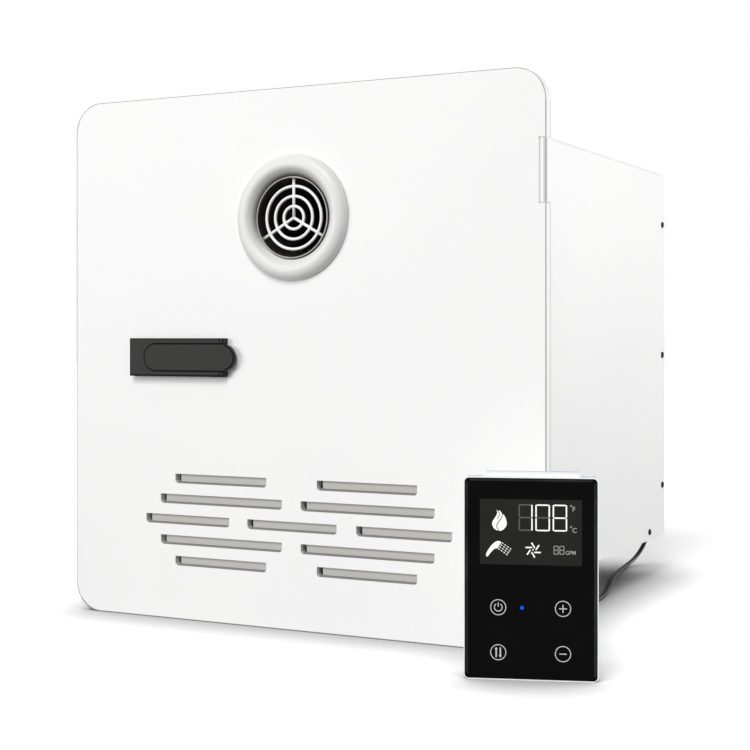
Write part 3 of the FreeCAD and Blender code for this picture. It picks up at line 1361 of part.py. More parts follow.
def make_control_box():
    """Box on the left wall with its circuit board, cover, and main switch."""
    x = ("control_left", "control_right")
    box = shell_box("control_case", x, ("control_front", "control_back"),
                    ("control_low", "control_high"), "control_wall", ("-y",))
    feet = [block(f"control_foot_{tag}", ("-case_inner_x", "control_left"), y,
                  ("control_low + 20", "control_high - 20"))
            for tag, y in (("front", ("control_front + 12", "control_front + 24")),
                           ("back", ("control_back - 24", "control_back - 12")))]
    pillars = []
    for row, z in enumerate(("control_low + 18", "control_high - 18")):
        for column, y in enumerate(("control_front + 18", "control_back - 18")):
            pillars.append(rod(f"board_pillar_{row}{column}", "x", "3",
                               ("control_left + control_wall", "control_left + 9"), (y, z)))
    node("control_box", fuse("control_box", box, *feet, *pillars))
    board = block("board_plate", ("control_left + 9", "control_left + 9 + board_sheet"),
                  ("control_front + 8", "control_back - 8"), ("control_low + 8", "control_high - 46"))
    parts = []
    for tag, y, z, tall in (("relay", 30, 30, 16), ("filter", 62, 26, 20), ("chip", 96, 34, 4),
                            ("supply", 34, 70, 22), ("driver", 74, 72, 9)):
        parts.append(block(f"board_{tag}", ("control_left + 9", f"control_left + 10 + {tall}"),
                           (f"control_front + {y} - 9", f"control_front + {y} + 9"),
                           (f"control_low + {z} - 8", f"control_low + {z} + 8")))
    node("control_board", fuse("control_board", board, *parts))

    cover = block("cover_plate", x, ("control_front - control_wall", "control_front"),
                  ("control_low", "control_high"))
    hole = block("cover_hole", (f"{SWITCH_X} - switch_half_width", f"{SWITCH_X} + switch_half_width"),
                 ("control_front - 4", "control_front + 1"),
                 ("switch_z - switch_half_height", "switch_z + switch_half_height"))
    node("control_cover", cut("control_cover", cover, hole))

    face = "control_front - control_wall"
    collar = block("switch_collar", (f"{SWITCH_X} - switch_half_width - 2",
                                     f"{SWITCH_X} + switch_half_width + 2"),
                   (f"{face} - 1.5", face),
                   ("switch_z - switch_half_height - 2", "switch_z + switch_half_height + 2"))
    case = block("switch_case", (f"{SWITCH_X} - switch_half_width", f"{SWITCH_X} + switch_half_width"),
                 (face, f"{face} + 22"),
                 ("switch_z - switch_half_height", "switch_z + switch_half_height"))
    well = block("switch_well", (f"{SWITCH_X} - switch_half_width + 1.7",
                                 f"{SWITCH_X} + switch_half_width - 1.7"),
                 (f"{face} - 2", f"{face} + 10"),
                 ("switch_z - switch_half_height + 1.3", "switch_z + switch_half_height - 1.3"))
    pivot = ("control_front - control_wall + 1.8", "switch_z")
    pin = rod("rocker_pin", "x", "rocker_pin_radius",
              (f"{SWITCH_X} - switch_half_width", f"{SWITCH_X} + switch_half_width"), pivot)
    hollow = cut("switch_hollow", fuse("switch_solid", collar, case), well)
    node("power_switch", fuse("power_switch", hollow, pin))

    centre_y = number_of(pivot[0])
    centre_z = size("switch_z")
    half = size("switch_half_height") - 2.8
    outline = [(-5.0, -half), (-3.2, 0.0), (-5.0, half), (-1.0, half), (3.0, 4.0), (3.0, -4.0),
               (-1.0, -half), (-5.0, -half)]
    left = number_of(f"{SWITCH_X} - switch_half_width + 2")
    width = number_of("2 * switch_half_width - 4")
    section = Part.makePolygon([Vector(left, centre_y + y, centre_z + z) for y, z in outline])
    key = Part.Face(section).extrude(Vector(width, 0, 0))
    bore = Part.makeCylinder(size("rocker_pin_radius") + size("shaft_running_gap"), width + 2,
                             Vector(left - 1, centre_y, centre_z), Vector(1, 0, 0))
    key = key.cut(bore)
    key.rotate(Vector(left, centre_y, centre_z), Vector(1, 0, 0), 8)
    node("power_rocker", shape("power_rocker", key))


def make_igniter():
    """Spark unit on the right wall, above the gas valve."""
    case = block("igniter_case", ("igniter_left", "case_inner_x"), ("igniter_front", "igniter_back"),
                 ("igniter_low", "igniter_high"))
    spout = rod("igniter_spout", "z", "5", ("igniter_low - 8", "igniter_low"),
                ("igniter_left + 14", "(igniter_front + igniter_back) / 2"))
    node("spark_igniter", fuse("spark_igniter", case, spout))


# --------------------------------------------------------------------------------------
# Wired controller
# --------------------------------------------------------------------------------------
def stand_controller(thing):
    """Turn a piece of the controller and stand it on the floor, front face forwards."""
    bind(thing, "Placement.Base.x", "controller_x")
    bind(thing, "Placement.Base.y", "controller_y")
    bind(thing, "Placement.Base.z", "floor_z")
    bind(thing, "Placement.Rotation.Angle", "controller_turn")
    return thing


def rounded_plate(name, half_width, z, y, corner):
    """A plate that stands upright across the local X, with its four corners rounded."""
    body = new_body(name)
    outline = new_sketch(body, name + "_outline", "XZ_Plane", f"-({y[1]})")
    draw_rectangle(outline, "plate", (f"-({half_width})", half_width), z)
    plate = pad(body, name + "_pad", outline, f"({y[1]}) - ({y[0]})")
    DOC.recompute()
    fillet(body, name + "_corners", plate, edges_along(plate, "y"), corner)
    return body


def make_controller():
    """Frame, glass, display, board and rear housing, all in the controller's own directions."""
    half = "controller_width / 2"
    outer = rounded_plate("frame_outer", half, ("0", "controller_height"), ("0", "controller_rim"),
                          "controller_corner")
    glass_z = ("glass_inset", "controller_height - glass_inset")
    seat = rounded_plate("glass_seat", f"{half} - glass_inset", glass_z, ("-1", "glass_sheet"),
                         "glass_corner")
    inner_half = f"{half} - glass_inset - controller_wall"
    cavity_z = ("glass_inset + controller_wall", "controller_height - glass_inset - controller_wall")
    cavity = block("frame_cavity", (f"-({inner_half})", inner_half), ("0", "controller_rim + 1"),
                   cavity_z)
    node("controller_frame", stand_controller(cut("controller_frame", outer, seat, cavity)))
    glass = rounded_plate("controller_glass", f"{half} - glass_inset", glass_z,
                          ("0", "glass_sheet"), "glass_corner")
    node("controller_glass", stand_controller(glass))

    display_left = f"display_left - {half}"
    display = block("display_module", (display_left, f"{display_left} + display_width"),
                    ("glass_sheet", "glass_sheet + display_sheet"),
                    ("display_low", "display_low + display_height"))
    node("controller_display", stand_controller(group("controller_display", display)))
    board_front = "glass_sheet + display_sheet"
    plate = block("keyboard_plate", (f"-({inner_half})", inner_half),
                  (board_front, f"{board_front} + board_sheet"), cavity_z)
    keys = [rod(f"touch_pad_{index}", "y", "key_radius", ("glass_sheet", board_front), place)
            for index, place in enumerate(key_places())]
    chip = block("keyboard_chip", ("-8", "8"), (f"{board_front} + board_sheet - 0.1",
                                                f"{board_front} + board_sheet + 3"), ("50", "64"))
    node("controller_board", stand_controller(fuse("controller_board", plate, chip, *keys)))

    back_half = f"{half} - back_inset"
    shell = shell_box("rear_shell", (f"-({back_half})", back_half),
                      ("controller_rim", "controller_rim + back_depth"),
                      ("0", "controller_height + back_raise"), "controller_wall", ("-y",))
    lip = block("rear_lip", (f"-({back_half})", back_half),
                ("controller_rim", "controller_rim + controller_wall"),
                ("controller_height - 3", "controller_height + back_raise"))
    bezel = shell_box("rear_flange", (f"-({inner_half})", inner_half),
                      ("controller_rim - 1.5", "controller_rim"), cavity_z, "4", ("-y", "+y"))
    exit_hole = rod("cord_hole", "y", "bush_neck_radius",
                    ("controller_rim + back_depth - 3", "controller_rim + back_depth + 1"),
                    ("controller_exit_x", "controller_exit_z"))
    side_wings = block("rear_wings", (f"-({inner_half})", inner_half),
                       ("controller_rim - 1.5", "controller_rim"),
                       ("controller_wall + 2", "controller_height - 8"))
    middle = block("rear_wings_gap", (f"-({back_half}) + controller_wall",
                                      f"{back_half} - controller_wall"),
                   ("controller_rim - 3", "controller_rim + 1"),
                   ("controller_wall + 4", "controller_height - 10"))
    wings = cut("rear_wing_pair", side_wings, middle)
    node("controller_back", stand_controller(
        cut("controller_back", fuse("rear_solid", shell, lip, bezel, wings), exit_hole)))


def key_places():
    """Local X and Z of the five touch keys behind the glass."""
    left, right = "key_left - controller_width / 2", "key_right - controller_width / 2"
    return [(left, "key_high"), (right, "key_high"), (left, "key_low"), (right, "key_low")]


def make_cord_ends():
    """The gland in the back panel and the rubber bush in the controller's back."""
    centre = ("gland_x", "gland_z")
    dome = rod("gland_dome", "y", "gland_radius", ("case_depth", "case_depth + gland_length"), centre)
    neck = rod("gland_neck", "y", "gland_radius - 2", ("case_depth - 5", "case_depth + 1"), centre)
    nut = rod("gland_nut", "y", "gland_radius", ("case_depth - 5", "case_depth - case_sheet"), centre)
    bore = rod("gland_bore", "y", "cord_radius", ("case_depth - 6", "case_depth + gland_length + 1"),
               centre)
    node("cable_gland", cut("cable_gland", fuse("gland_solid", dome, neck, nut), bore))

    rear = "controller_rim + back_depth"
    place = ("controller_exit_x", "controller_exit_z")
    tail = taper("bush_tail", "y", ("bush_radius", "cord_radius + 0.7"),
                 (rear, f"{rear} + bush_length"), place)
    neck = rod("bush_neck", "y", "bush_neck_radius", (f"{rear} - controller_wall - 1", f"{rear} + 1"),
               place)
    lip = rod("bush_lip", "y", "bush_radius", (f"{rear} - controller_wall - 1.5",
                                               f"{rear} - controller_wall"), place)
    bore = rod("bush_bore", "y", "cord_radius", (f"{rear} - 5", f"{rear} + bush_length + 1"), place)
    bush = cut("cord_bush", fuse("bush_solid", tail, neck, lip), bore)
    node("cord_bush", stand_controller(bush))


def cord_bends(points):
    """The largest radius at each corner that its two runs allow."""
    radii = []
    for index in range(1, len(points) - 1):
        before = points[index] - points[index - 1]
        after = points[index + 1] - points[index]
        turn = before.getAngle(after)
        radii.append(0.45 * min(before.Length, after.Length) / math.tan(turn / 2))
    return radii


def make_cord():
    """Cable between the casing and the controller: both free runs and the stored coil."""
    floor = size("cord_z")
    rear = [
        (137, 374, -143), (137, 396, -143), (132, 413, -155), (128, 413, -173), (122.5, 402, -186),
        (120, 380, floor), (124.5, 346, floor), (134, 298, floor), (147, 248, floor),
        (155, 206, floor), (154, 165, floor), (144, 130, floor), (125, 99, floor),
        (121.3, 72, floor),
    ]
    rear_points = [Vector(*place) for place in rear]
    rear_radii = cord_bends(rear_points)
    node("cord_rear_run", bent_tube("cord_rear_run", rear_points, size("cord_radius"), 0.0,
                                    rear_radii))
    turn = math.radians(size("controller_turn"))
    outwards = Vector(-math.sin(turn), math.cos(turn), 0)
    sideways = Vector(math.cos(turn), math.sin(turn), 0)
    stand = Vector(size("controller_x"), size("controller_y"), size("floor_z"))
    mouth = (stand + sideways * size("controller_exit_x")
             + outwards * number_of("controller_rim + back_depth + bush_length")
             + Vector(0, 0, size("controller_exit_z")))
    front = [
        (140.2, 45, -179.1), (159, 39.5, -186.5), (177, 29, floor), (192, 14.5, floor),
        (200.5, -3, floor),
    ]
    front_points = [Vector(*place) for place in front]
    front_points += [mouth + outwards * 15, mouth - outwards * 6]
    front_radii = cord_bends(front_points)
    node("cord_front_run", bent_tube("cord_front_run", front_points, size("cord_radius"), 0.0,
                                     front_radii))
    for name, points, radii in (("rear", rear_points, rear_radii),
                                ("front", front_points, front_radii)):
        length = sum((after - before).Length for before, after in zip(points, points[1:]))
        print(f"cord {name} run {length:.1f} mm, radii", [round(radius, 1) for radius in radii])

    centre = ("coil_x", "coil_y")
    ring = rod("coil_outer", "z", "coil_mean_radius + coil_half_width",
               ("coil_low", "coil_low + coil_height"), centre)
    eye = rod("coil_eye", "z", "coil_mean_radius - coil_half_width",
              ("coil_low - 1", "coil_low + coil_height + 1"), centre)
    node("cord_coil", cut("cord_coil", ring, eye))


# --------------------------------------------------------------------------------------
# Build, check and write every sub-part
# --------------------------------------------------------------------------------------
MAKERS = [
    make_front_frame, make_casing_shell, make_bottom_panel, make_back_panel, make_casing_screws,
    make_door_panel, make_hinges, make_door_seal, make_exhaust_bezel, make_vent_baffle,
    make_latch_base, make_latch_paddle, make_latch_bolt, make_striker, make_flue, make_hood,
    make_heat_exchanger, make_chamber_and_burner, make_electrodes, make_gas_train,
    make_pipe_fittings, make_blower, make_water_train, make_relief_valve, make_control_box,
    make_igniter, make_controller, make_cord_ends, make_cord,
]


def check_document():
    """Stop on any object that failed, and on any sub-part without a sound shape."""
    for thing in DOC.Objects:
        if "Invalid" in thing.State or "Error" in thing.State:
            raise RuntimeError(f"{thing.Name} failed: {thing.State}")
    for name, thing in NODES.items():
        if thing.Shape.isNull() or not thing.Shape.isValid():
            raise RuntimeError(f"{name} has no sound shape")
        if thing.Label != name:
            raise RuntimeError(f"{name} is labelled {thing.Label}")


def write_parts():
    """Write one file for each sub-part, named by its label."""
    os.makedirs("parts", exist_ok=True)
    for name, thing in NODES.items():
        thing.Shape.exportStep(os.path.join("parts", thing.Label + ".step"))
        solids = len(thing.Shape.Solids)
        print(f"{name}: {solids} solids, {thing.Shape.Volume:.0f} mm3")


fill_sheet()
for maker in MAKERS:
    maker()
    DOC.recompute()
check_document()
write_parts()
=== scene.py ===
"""Looks of a built-in gas water heater with a wired touch controller.

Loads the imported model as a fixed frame, dresses every node of it and adds the pieces
that only the looks need. Meshes are in metres. Outlines, and sizes that a class gives in
millimetres, go through mm() or place_mm() on their way into a mesh.
"""
import json
import logging
import math
from dataclasses import dataclass, field
from enum import Enum
from typing import Callable, ClassVar, Iterable, Sequence

import bmesh
import bpy
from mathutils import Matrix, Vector

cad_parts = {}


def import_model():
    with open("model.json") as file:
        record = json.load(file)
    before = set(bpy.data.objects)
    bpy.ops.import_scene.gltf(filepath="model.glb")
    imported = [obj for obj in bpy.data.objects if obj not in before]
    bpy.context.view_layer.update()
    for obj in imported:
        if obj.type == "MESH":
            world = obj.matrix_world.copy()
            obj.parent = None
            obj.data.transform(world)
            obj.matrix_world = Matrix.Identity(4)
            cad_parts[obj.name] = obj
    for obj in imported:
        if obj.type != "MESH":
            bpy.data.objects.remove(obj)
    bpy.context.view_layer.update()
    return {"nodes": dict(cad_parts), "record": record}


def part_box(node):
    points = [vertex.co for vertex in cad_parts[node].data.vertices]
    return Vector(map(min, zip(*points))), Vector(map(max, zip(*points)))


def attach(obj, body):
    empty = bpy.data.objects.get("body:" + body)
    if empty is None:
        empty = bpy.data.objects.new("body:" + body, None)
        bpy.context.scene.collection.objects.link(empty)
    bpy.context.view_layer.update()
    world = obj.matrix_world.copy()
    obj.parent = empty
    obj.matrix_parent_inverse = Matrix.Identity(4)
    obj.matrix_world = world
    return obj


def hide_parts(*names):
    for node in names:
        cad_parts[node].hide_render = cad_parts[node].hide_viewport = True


log = logging.getLogger("heater")
Pair = tuple[float, float]
Point = tuple[float, float, float]
Colour = tuple[float, float, float, float]
Line = Sequence[Pair]
Spot = Callable[[float, float, float], Vector]

FLOOR_MM = -192.5
EXHAUST_MM = 100.0
# The Mix node's colour inputs and output, whose names it uses more than once.
MIX_FIRST, MIX_SECOND, MIX_COLOUR = 6, 7, 2


# ---------------------------------------------------------------------------------
# Small helpers
# ---------------------------------------------------------------------------------
def mm(value: float) -> float:
    """Millimetres as metres."""
    return value * 0.001


def place_mm(*values: float) -> Vector:
    """A point given in millimetres."""
    return Vector(values) * 0.001


def linear(code: str) -> Colour:
    """Turns an sRGB hex colour into linear light.

    Args:
        code: a # and six hex digits.

    Returns:
        The colour as red, green, blue and alpha.
    """
    parts = (int(code[start:start + 2], 16) / 255 for start in (1, 3, 5))
    return (*(part / 12.92 if part <= 0.04045 else ((part + 0.055) / 1.055) ** 2.4
              for part in parts), 1.0)


def add(tree: bpy.types.NodeTree, kind: str, settings: dict | None = None,
        links: dict | None = None) -> bpy.types.Node:
    """Adds a node with its settings and links.

    Args:
        tree: the tree that gets the node.
        kind: the node's type name.
        settings: attribute names to values, or input names or numbers to values.
        links: input names or numbers to the output sockets that feed them.

    Returns:
        The new node.
    """
    made = tree.nodes.new(kind)
    for name, value in (settings or {}).items():
        if isinstance(name, str) and hasattr(made, name):
            setattr(made, name, value)
        else:
            made.inputs[name].default_value = value
    for name, socket in (links or {}).items():
        tree.links.new(socket, made.inputs[name])
    return made


def linked(name: str, data: bpy.types.ID) -> bpy.types.Object:
    """Puts a new object with the data into the scene."""
    piece = bpy.data.objects.new(name, data)
    bpy.context.scene.collection.objects.link(piece)
    return piece


def evaluated(piece: bpy.types.Object) -> bpy.types.Mesh:
    """The plain mesh that an object's curve, text or modifiers make."""
    graph = bpy.context.evaluated_depsgraph_get()
    return bpy.data.meshes.new_from_object(piece.evaluated_get(graph), depsgraph=graph)


def as_mesh(name: str, shape: bmesh.types.BMesh) -> bpy.types.Mesh:
    """Turns a bmesh into a mesh and frees it."""
    mesh = bpy.data.meshes.new(name)
    shape.to_mesh(mesh)
    shape.free()
    return mesh


def mesh_object(name: str, mesh: bpy.types.Mesh, material: bpy.types.Material,
                smooth: bool = False) -> bpy.types.Object:
    """Links a mesh as an object with one material.

    Args:
        name: the object's name.
        mesh: its mesh.
        material: its one material.
        smooth: whether its faces are shaded smooth.

    Returns:
        The object.
    """
    mesh.materials.clear()
    mesh.materials.append(material)
    if smooth:
        mesh.shade_smooth()
    return linked(name, mesh)


def from_bmesh(name: str, shape: bmesh.types.BMesh, material: bpy.types.Material,
               smooth: bool = False) -> bpy.types.Object:
    """Turns a bmesh into an object with closed, outward faces.

    Args:
        name: the object's name.
        shape: the shape, which is freed.
        material: its one material.
        smooth: whether its faces are shaded smooth.

    Returns:
        The object.
    """
    bmesh.ops.remove_doubles(shape, verts=shape.verts, dist=1e-7)
    bmesh.ops.recalc_face_normals(shape, faces=shape.faces)
    return mesh_object(name, as_mesh(name, shape), material, smooth)


def from_curve(name: str, line: bpy.types.Curve) -> bmesh.types.BMesh:
    """Turns a curve or a text into a shape and removes the curve.

    Args:
        name: the name of the object that holds it meanwhile.
        line: the curve or text.

    Returns:
        The shape.
    """
    holder = linked(name, line)
    mesh = evaluated(holder)
    bpy.data.objects.remove(holder)
    bpy.data.curves.remove(line)
    shape = bmesh.new()
    shape.from_mesh(mesh)
    bpy.data.meshes.remove(mesh)
    return shape


def extruded(outline: Line, holes: Sequence[Line], depth: Pair, spot: Spot
             ) -> bmesh.types.BMesh:
    """A flat shape with holes, given a thickness.

    Args:
        outline: the outer line's points.
        holes: the inner lines' points.
        depth: its two ends along the third direction.
        spot: turns (u, v, depth) into a place.

    Returns:
        The closed shape.
    """
    shape = bmesh.new()
    for line in (outline, *holes):
        corners = [shape.verts.new(spot(u, v, depth[0])) for u, v in line]
        for first, second in zip(corners, corners[1:] + corners[:1]):
            shape.edges.new((first, second))
    filled = bmesh.ops.triangle_fill(shape, use_beauty=True, use_dissolve=False,
                                     edges=shape.edges[:])
    faces = [item for item in filled["geom"] if isinstance(item, bmesh.types.BMFace)]
    grown = bmesh.ops.extrude_face_region(shape, geom=faces, use_keep_orig=True)
    tops = [item for item in grown["geom"] if isinstance(item, bmesh.types.BMVert)]
    bmesh.ops.translate(shape, verts=tops, vec=spot(0, 0, depth[1]) - spot(0, 0, depth[0]))
    return shape


def framed(outer: Line, inner: Line, depth: Pair, spot: Spot,
           closed: bool = True) -> bmesh.types.BMesh:
    """A thin strip between two lines with the same number of points.

    Args:
        outer: the outer line's points.
        inner: the inner line's points.
        depth: its two ends along the third direction.
        spot: turns (u, v, depth) into a place.
        closed: whether the lines run all the way round.

    Returns:
        The closed shape.
    """
    shape = bmesh.new()
    rows = [[shape.verts.new(spot(u, v, far)) for u, v in line]
            for line, far in ((outer, depth[0]), (inner, depth[0]),
                              (inner, depth[1]), (outer, depth[1]))]
    steps = len(outer) if closed else len(outer) - 1
    for near, far in zip(rows, rows[1:] + rows[:1]):
        for here in range(steps):
            after = (here + 1) % len(outer)
            shape.faces.new((near[here], near[after], far[after], far[here]))
    if not closed:
        shape.faces.new([row[0] for row in rows])
        shape.faces.new([row[-1] for row in reversed(rows)])
    return shape


def lathe(profile: Line, centre: Vector, axis: Vector, steps: int) -> bmesh.types.BMesh:
    """Turns a closed profile round an axis.

    Args:
        profile: points as (radius, distance along the axis).
        centre: the axis's start.
        axis: its direction.
        steps: how many sides the turned shape has.

    Returns:
        The closed ring.
    """
    shape = bmesh.new()
    along = axis.normalized()
    side = along.orthogonal().normalized()
    other = along.cross(side)
    rings = []
    for step in range(steps):
        turn = 2 * math.pi * step / steps
        out = side * math.cos(turn) + other * math.sin(turn)
        rings.append([shape.verts.new(centre + along * far + out * radius)
                      for radius, far in profile])
    for here, there in zip(rings, rings[1:] + rings[:1]):
        for index in range(len(profile)):
            after = (index + 1) % len(profile)
            shape.faces.new((here[index], here[after], there[after], there[index]))
    return shape


def rectangle(left: float, right: float, low: float, high: float) -> list[Pair]:
    """The four corners of an upright rectangle."""
    return [(left, low), (right, low), (right, high), (left, high)]


def round_corners(points: Line, radius: float, steps: int) -> list[Pair]:
    """Rounds a flat outline's corners.

    Args:
        points: the sharp outline, in order.
        radius: the corners' radius.
        steps: how many runs each round corner has.

    Returns:
        The rounded outline's points.
    """
    out = []
    for index, corner in enumerate(points):
        here = Vector(corner)
        before = (Vector(points[index - 1]) - here).normalized()
        after = (Vector(points[(index + 1) % len(points)]) - here).normalized()
        half = before.angle(after) / 2
        reach = radius / math.tan(half)
        middle = here + (before + after).normalized() * (radius / math.sin(half))
        start, end = here + before * reach, here + after * reach
        for step in range(steps + 1):
            swing = (start - middle).slerp(end - middle, step / steps).normalized()
            out.append(tuple(middle + swing * radius))
    return out


def circle(centre: Pair, radius: float, steps: int = 48, start: float = 0.0,
           sweep: float = 360.0) -> list[Pair]:
    """Points of a circle or of an arc of it.

    Args:
        centre: its middle.
        radius: its radius.
        steps: how many runs it has.
        start: where it starts, in degrees from the first direction.
        sweep: how far it runs, in degrees.

    Returns:
        The points, without the last one where it runs all the way round.
    """
    whole = abs(sweep) >= 360
    turns = [math.radians(start + sweep * step / steps)
             for step in range(steps if whole else steps + 1)]
    return [(centre[0] + radius * math.cos(turn), centre[1] + radius * math.sin(turn))
            for turn in turns]


def stroke(points: Line, width: float) -> list[Pair]:
    """The outline of a line of one width.

    Args:
        points: the places that the line's middle goes through.
        width: how wide it is.

    Returns:
        The outline, up one side and back down the other.
    """
    left, right = [], []
    for index, point in enumerate(points):
        here = Vector(point)
        before = Vector(points[max(index - 1, 0)])
        after = Vector(points[min(index + 1, len(points) - 1)])
        run = (after - before).normalized()
        side = Vector((-run.y, run.x)) * width / 2
        left.append(tuple(here + side))
        right.append(tuple(here - side))
    return left + right[::-1]


def spline_points(points: Line, closed: bool, steps: int) -> list[Pair]:
    """Points of a smooth line through the given ones.

    Args:
        points: the places it goes through.
        closed: whether it comes back to its start.
        steps: how many runs each stretch gets.

    Returns:
        The smooth line's points.
    """
    count = len(points)

    def pick(number: int) -> Vector:
        """A point of the list, kept inside it or taken round its end."""
        return Vector(points[number % count if closed else max(0, min(count - 1, number))])

    out = []
    for index in range(count if closed else count - 1):
        before, start, end, after = (pick(index + shift) for shift in (-1, 0, 1, 2))
        for step in range(steps):
            t = step / steps
            spot = 0.5 * ((2 * start) + (end - before) * t
                          + (2 * before - 5 * start + 4 * end - after) * t * t
                          + (3 * start - before - 3 * end + after) * t ** 3)
            out.append((spot.x, spot.y))
    if not closed:
        out.append(tuple(points[-1]))
    return out


def wire(name: str, ends: Sequence[Vector], radius: float,
         material: bpy.types.Material) -> bpy.types.Object:
    """A straight round wire with flat ends, as a closed mesh.

    Args:
        name: the object's name.
        ends: where it starts and ends.
        radius: its radius.
        material: its material.

    Returns:
        The object.
    """
    line = bpy.data.curves.new(name, "CURVE")
    line.dimensions = "3D"
    line.bevel_depth = radius
    line.bevel_resolution = 6
    line.use_fill_caps = True
    run = line.splines.new("POLY")
    run.points.add(len(ends) - 1)
    for knot, end in zip(run.points, ends):
        knot.co = (*end, 1.0)
    return from_bmesh(name, from_curve(name, line), material, True)


def joined(name: str, shapes: Iterable[bpy.types.Object]) -> bpy.types.Object:
    """Puts several pieces with the same material into one.

    Args:
        name: the whole's name.
        shapes: the pieces, which are removed.

    Returns:
        The whole.
    """
    shapes = list(shapes)
    whole = bmesh.new()
    for shape in shapes:
        whole.from_mesh(shape.data)
    material = shapes[0].data.materials[0]
    smooth = any(face.use_smooth for face in shapes[0].data.polygons)
    for shape in shapes:
        mesh = shape.data
        bpy.data.objects.remove(shape)
        bpy.data.meshes.remove(mesh)
    return mesh_object(name, as_mesh(name, whole), material, smooth)


class Body(str, Enum):
    """The bodies that the pieces ride on."""

    ROOT = "root"
    DOOR = "door"
    PADDLE = "latch_paddle"


def finished(piece: bpy.types.Object, body: Body, slot: str, *nodes: str) -> bpy.types.Object:
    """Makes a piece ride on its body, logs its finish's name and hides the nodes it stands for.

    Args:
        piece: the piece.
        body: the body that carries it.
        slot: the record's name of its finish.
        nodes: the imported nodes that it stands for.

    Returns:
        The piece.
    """
    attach(piece, body.value)
    if nodes:
        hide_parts(*nodes)
    log.info("%s rides on %s, finish %s", piece.name, body.value, slot)
    return piece


# ---------------------------------------------------------------------------------
# Finishes
# ---------------------------------------------------------------------------------
@dataclass(frozen=True)
class Finish:
    """What every finish shares: a name, a base colour and how rough it is."""

    TINT_STOPS: ClassVar[Pair] = (0.3, 0.7)

    name: str
    base: str
    roughness: float = 0.5

    def start(self, sockets: dict | None = None) -> tuple[
            bpy.types.Material, bpy.types.NodeTree, bpy.types.Node, bpy.types.NodeSocket]:
        """Makes the material with its shader and no pattern.

        Args:
            sockets: values for the shader's inputs besides its colour and roughness.

        Returns:
            The material, its tree, its shader and the object coordinates.
        """
        material = bpy.data.materials.new(self.name)
        material.use_nodes = True
        tree = material.node_tree
        tree.nodes.clear()
        shader = add(tree, "ShaderNodeBsdfPrincipled",
                     {"Base Color": linear(self.base), "Roughness": self.roughness,
                      **(sockets or {})})
        add(tree, "ShaderNodeOutputMaterial", links={"Surface": shader.outputs["BSDF"]})
        where = add(tree, "ShaderNodeTexCoord").outputs["Object"]
        material.diffuse_color = linear(self.base)
        return material, tree, shader, where

    def tinted(self, tree: bpy.types.NodeTree, shader: bpy.types.Node,
               amount: bpy.types.NodeSocket, low: str, high: str) -> bpy.types.NodeSocket:
        """Lets the colour change with an amount.

        Args:
            tree: the material's tree.
            shader: its shader.
            amount: the pattern, from 0 to 1.
            low: the colour where the pattern is low.
            high: the colour where it is high.

        Returns:
            The colour.
        """
        ramp = add(tree, "ShaderNodeValToRGB", links={"Fac": amount})
        for stop, code, place in zip(ramp.color_ramp.elements, (low, high), self.TINT_STOPS):
            stop.color = linear(code)
            stop.position = place
        tree.links.new(ramp.outputs["Color"], shader.inputs["Base Color"])
        return ramp.outputs["Color"]

    def rough(self, tree: bpy.types.NodeTree, shader: bpy.types.Node,
              amount: bpy.types.NodeSocket, spread: float) -> None:
        """Lets the roughness wander round its own value.

        Args:
            tree: the material's tree.
            shader: its shader.
            amount: the pattern, from 0 to 1.
            spread: how far it wanders either way.
        """
        span = add(tree, "ShaderNodeMapRange",
                   {"To Min": self.roughness - spread, "To Max": self.roughness + spread},
                   {"Value": amount})
        tree.links.new(span.outputs["Result"], shader.inputs["Roughness"])

    def bumped(self, tree: bpy.types.NodeTree, shader: bpy.types.Node,
               height: bpy.types.NodeSocket, depth: float, strength: float) -> None:
        """Gives the surface a relief.

        Args:
            tree: the material's tree.
            shader: its shader.
            height: the pattern, from 0 to 1.
            depth: how deep the relief is, in metres.
            strength: how much of it shows.
        """
        bump = add(tree, "ShaderNodeBump", {"Strength": strength, "Distance": depth},
                   {"Height": height})
        tree.links.new(bump.outputs["Normal"], shader.inputs["Normal"])


@dataclass(frozen=True)
class PowderCoat(Finish):
    """Baked powder paint: even and satin, with a faint orange-peel ripple 1.5 mm across."""

    ripple_mm: float = 1.5
    cooler: str = "#ECEDEE"
    drift_mm: float = 160.0

    def make(self) -> bpy.types.Material:
        """The material."""
        material, tree, shader, where = self.start({"IOR": 1.5})
        broad = add(tree, "ShaderNodeTexNoise", {"Scale": 1 / mm(self.drift_mm), "Detail": 2.0},
                    {"Vector": where})
        self.tinted(tree, shader, broad.outputs["Fac"], self.cooler, self.base)
        peel = add(tree, "ShaderNodeTexNoise",
                   {"Scale": 1 / mm(self.ripple_mm), "Detail": 2.0, "Roughness": 0.4},
                   {"Vector": where})
        self.bumped(tree, shader, peel.outputs["Fac"], mm(0.012), 0.5)
        self.rough(tree, shader, broad.outputs["Fac"], 0.03)
        return material


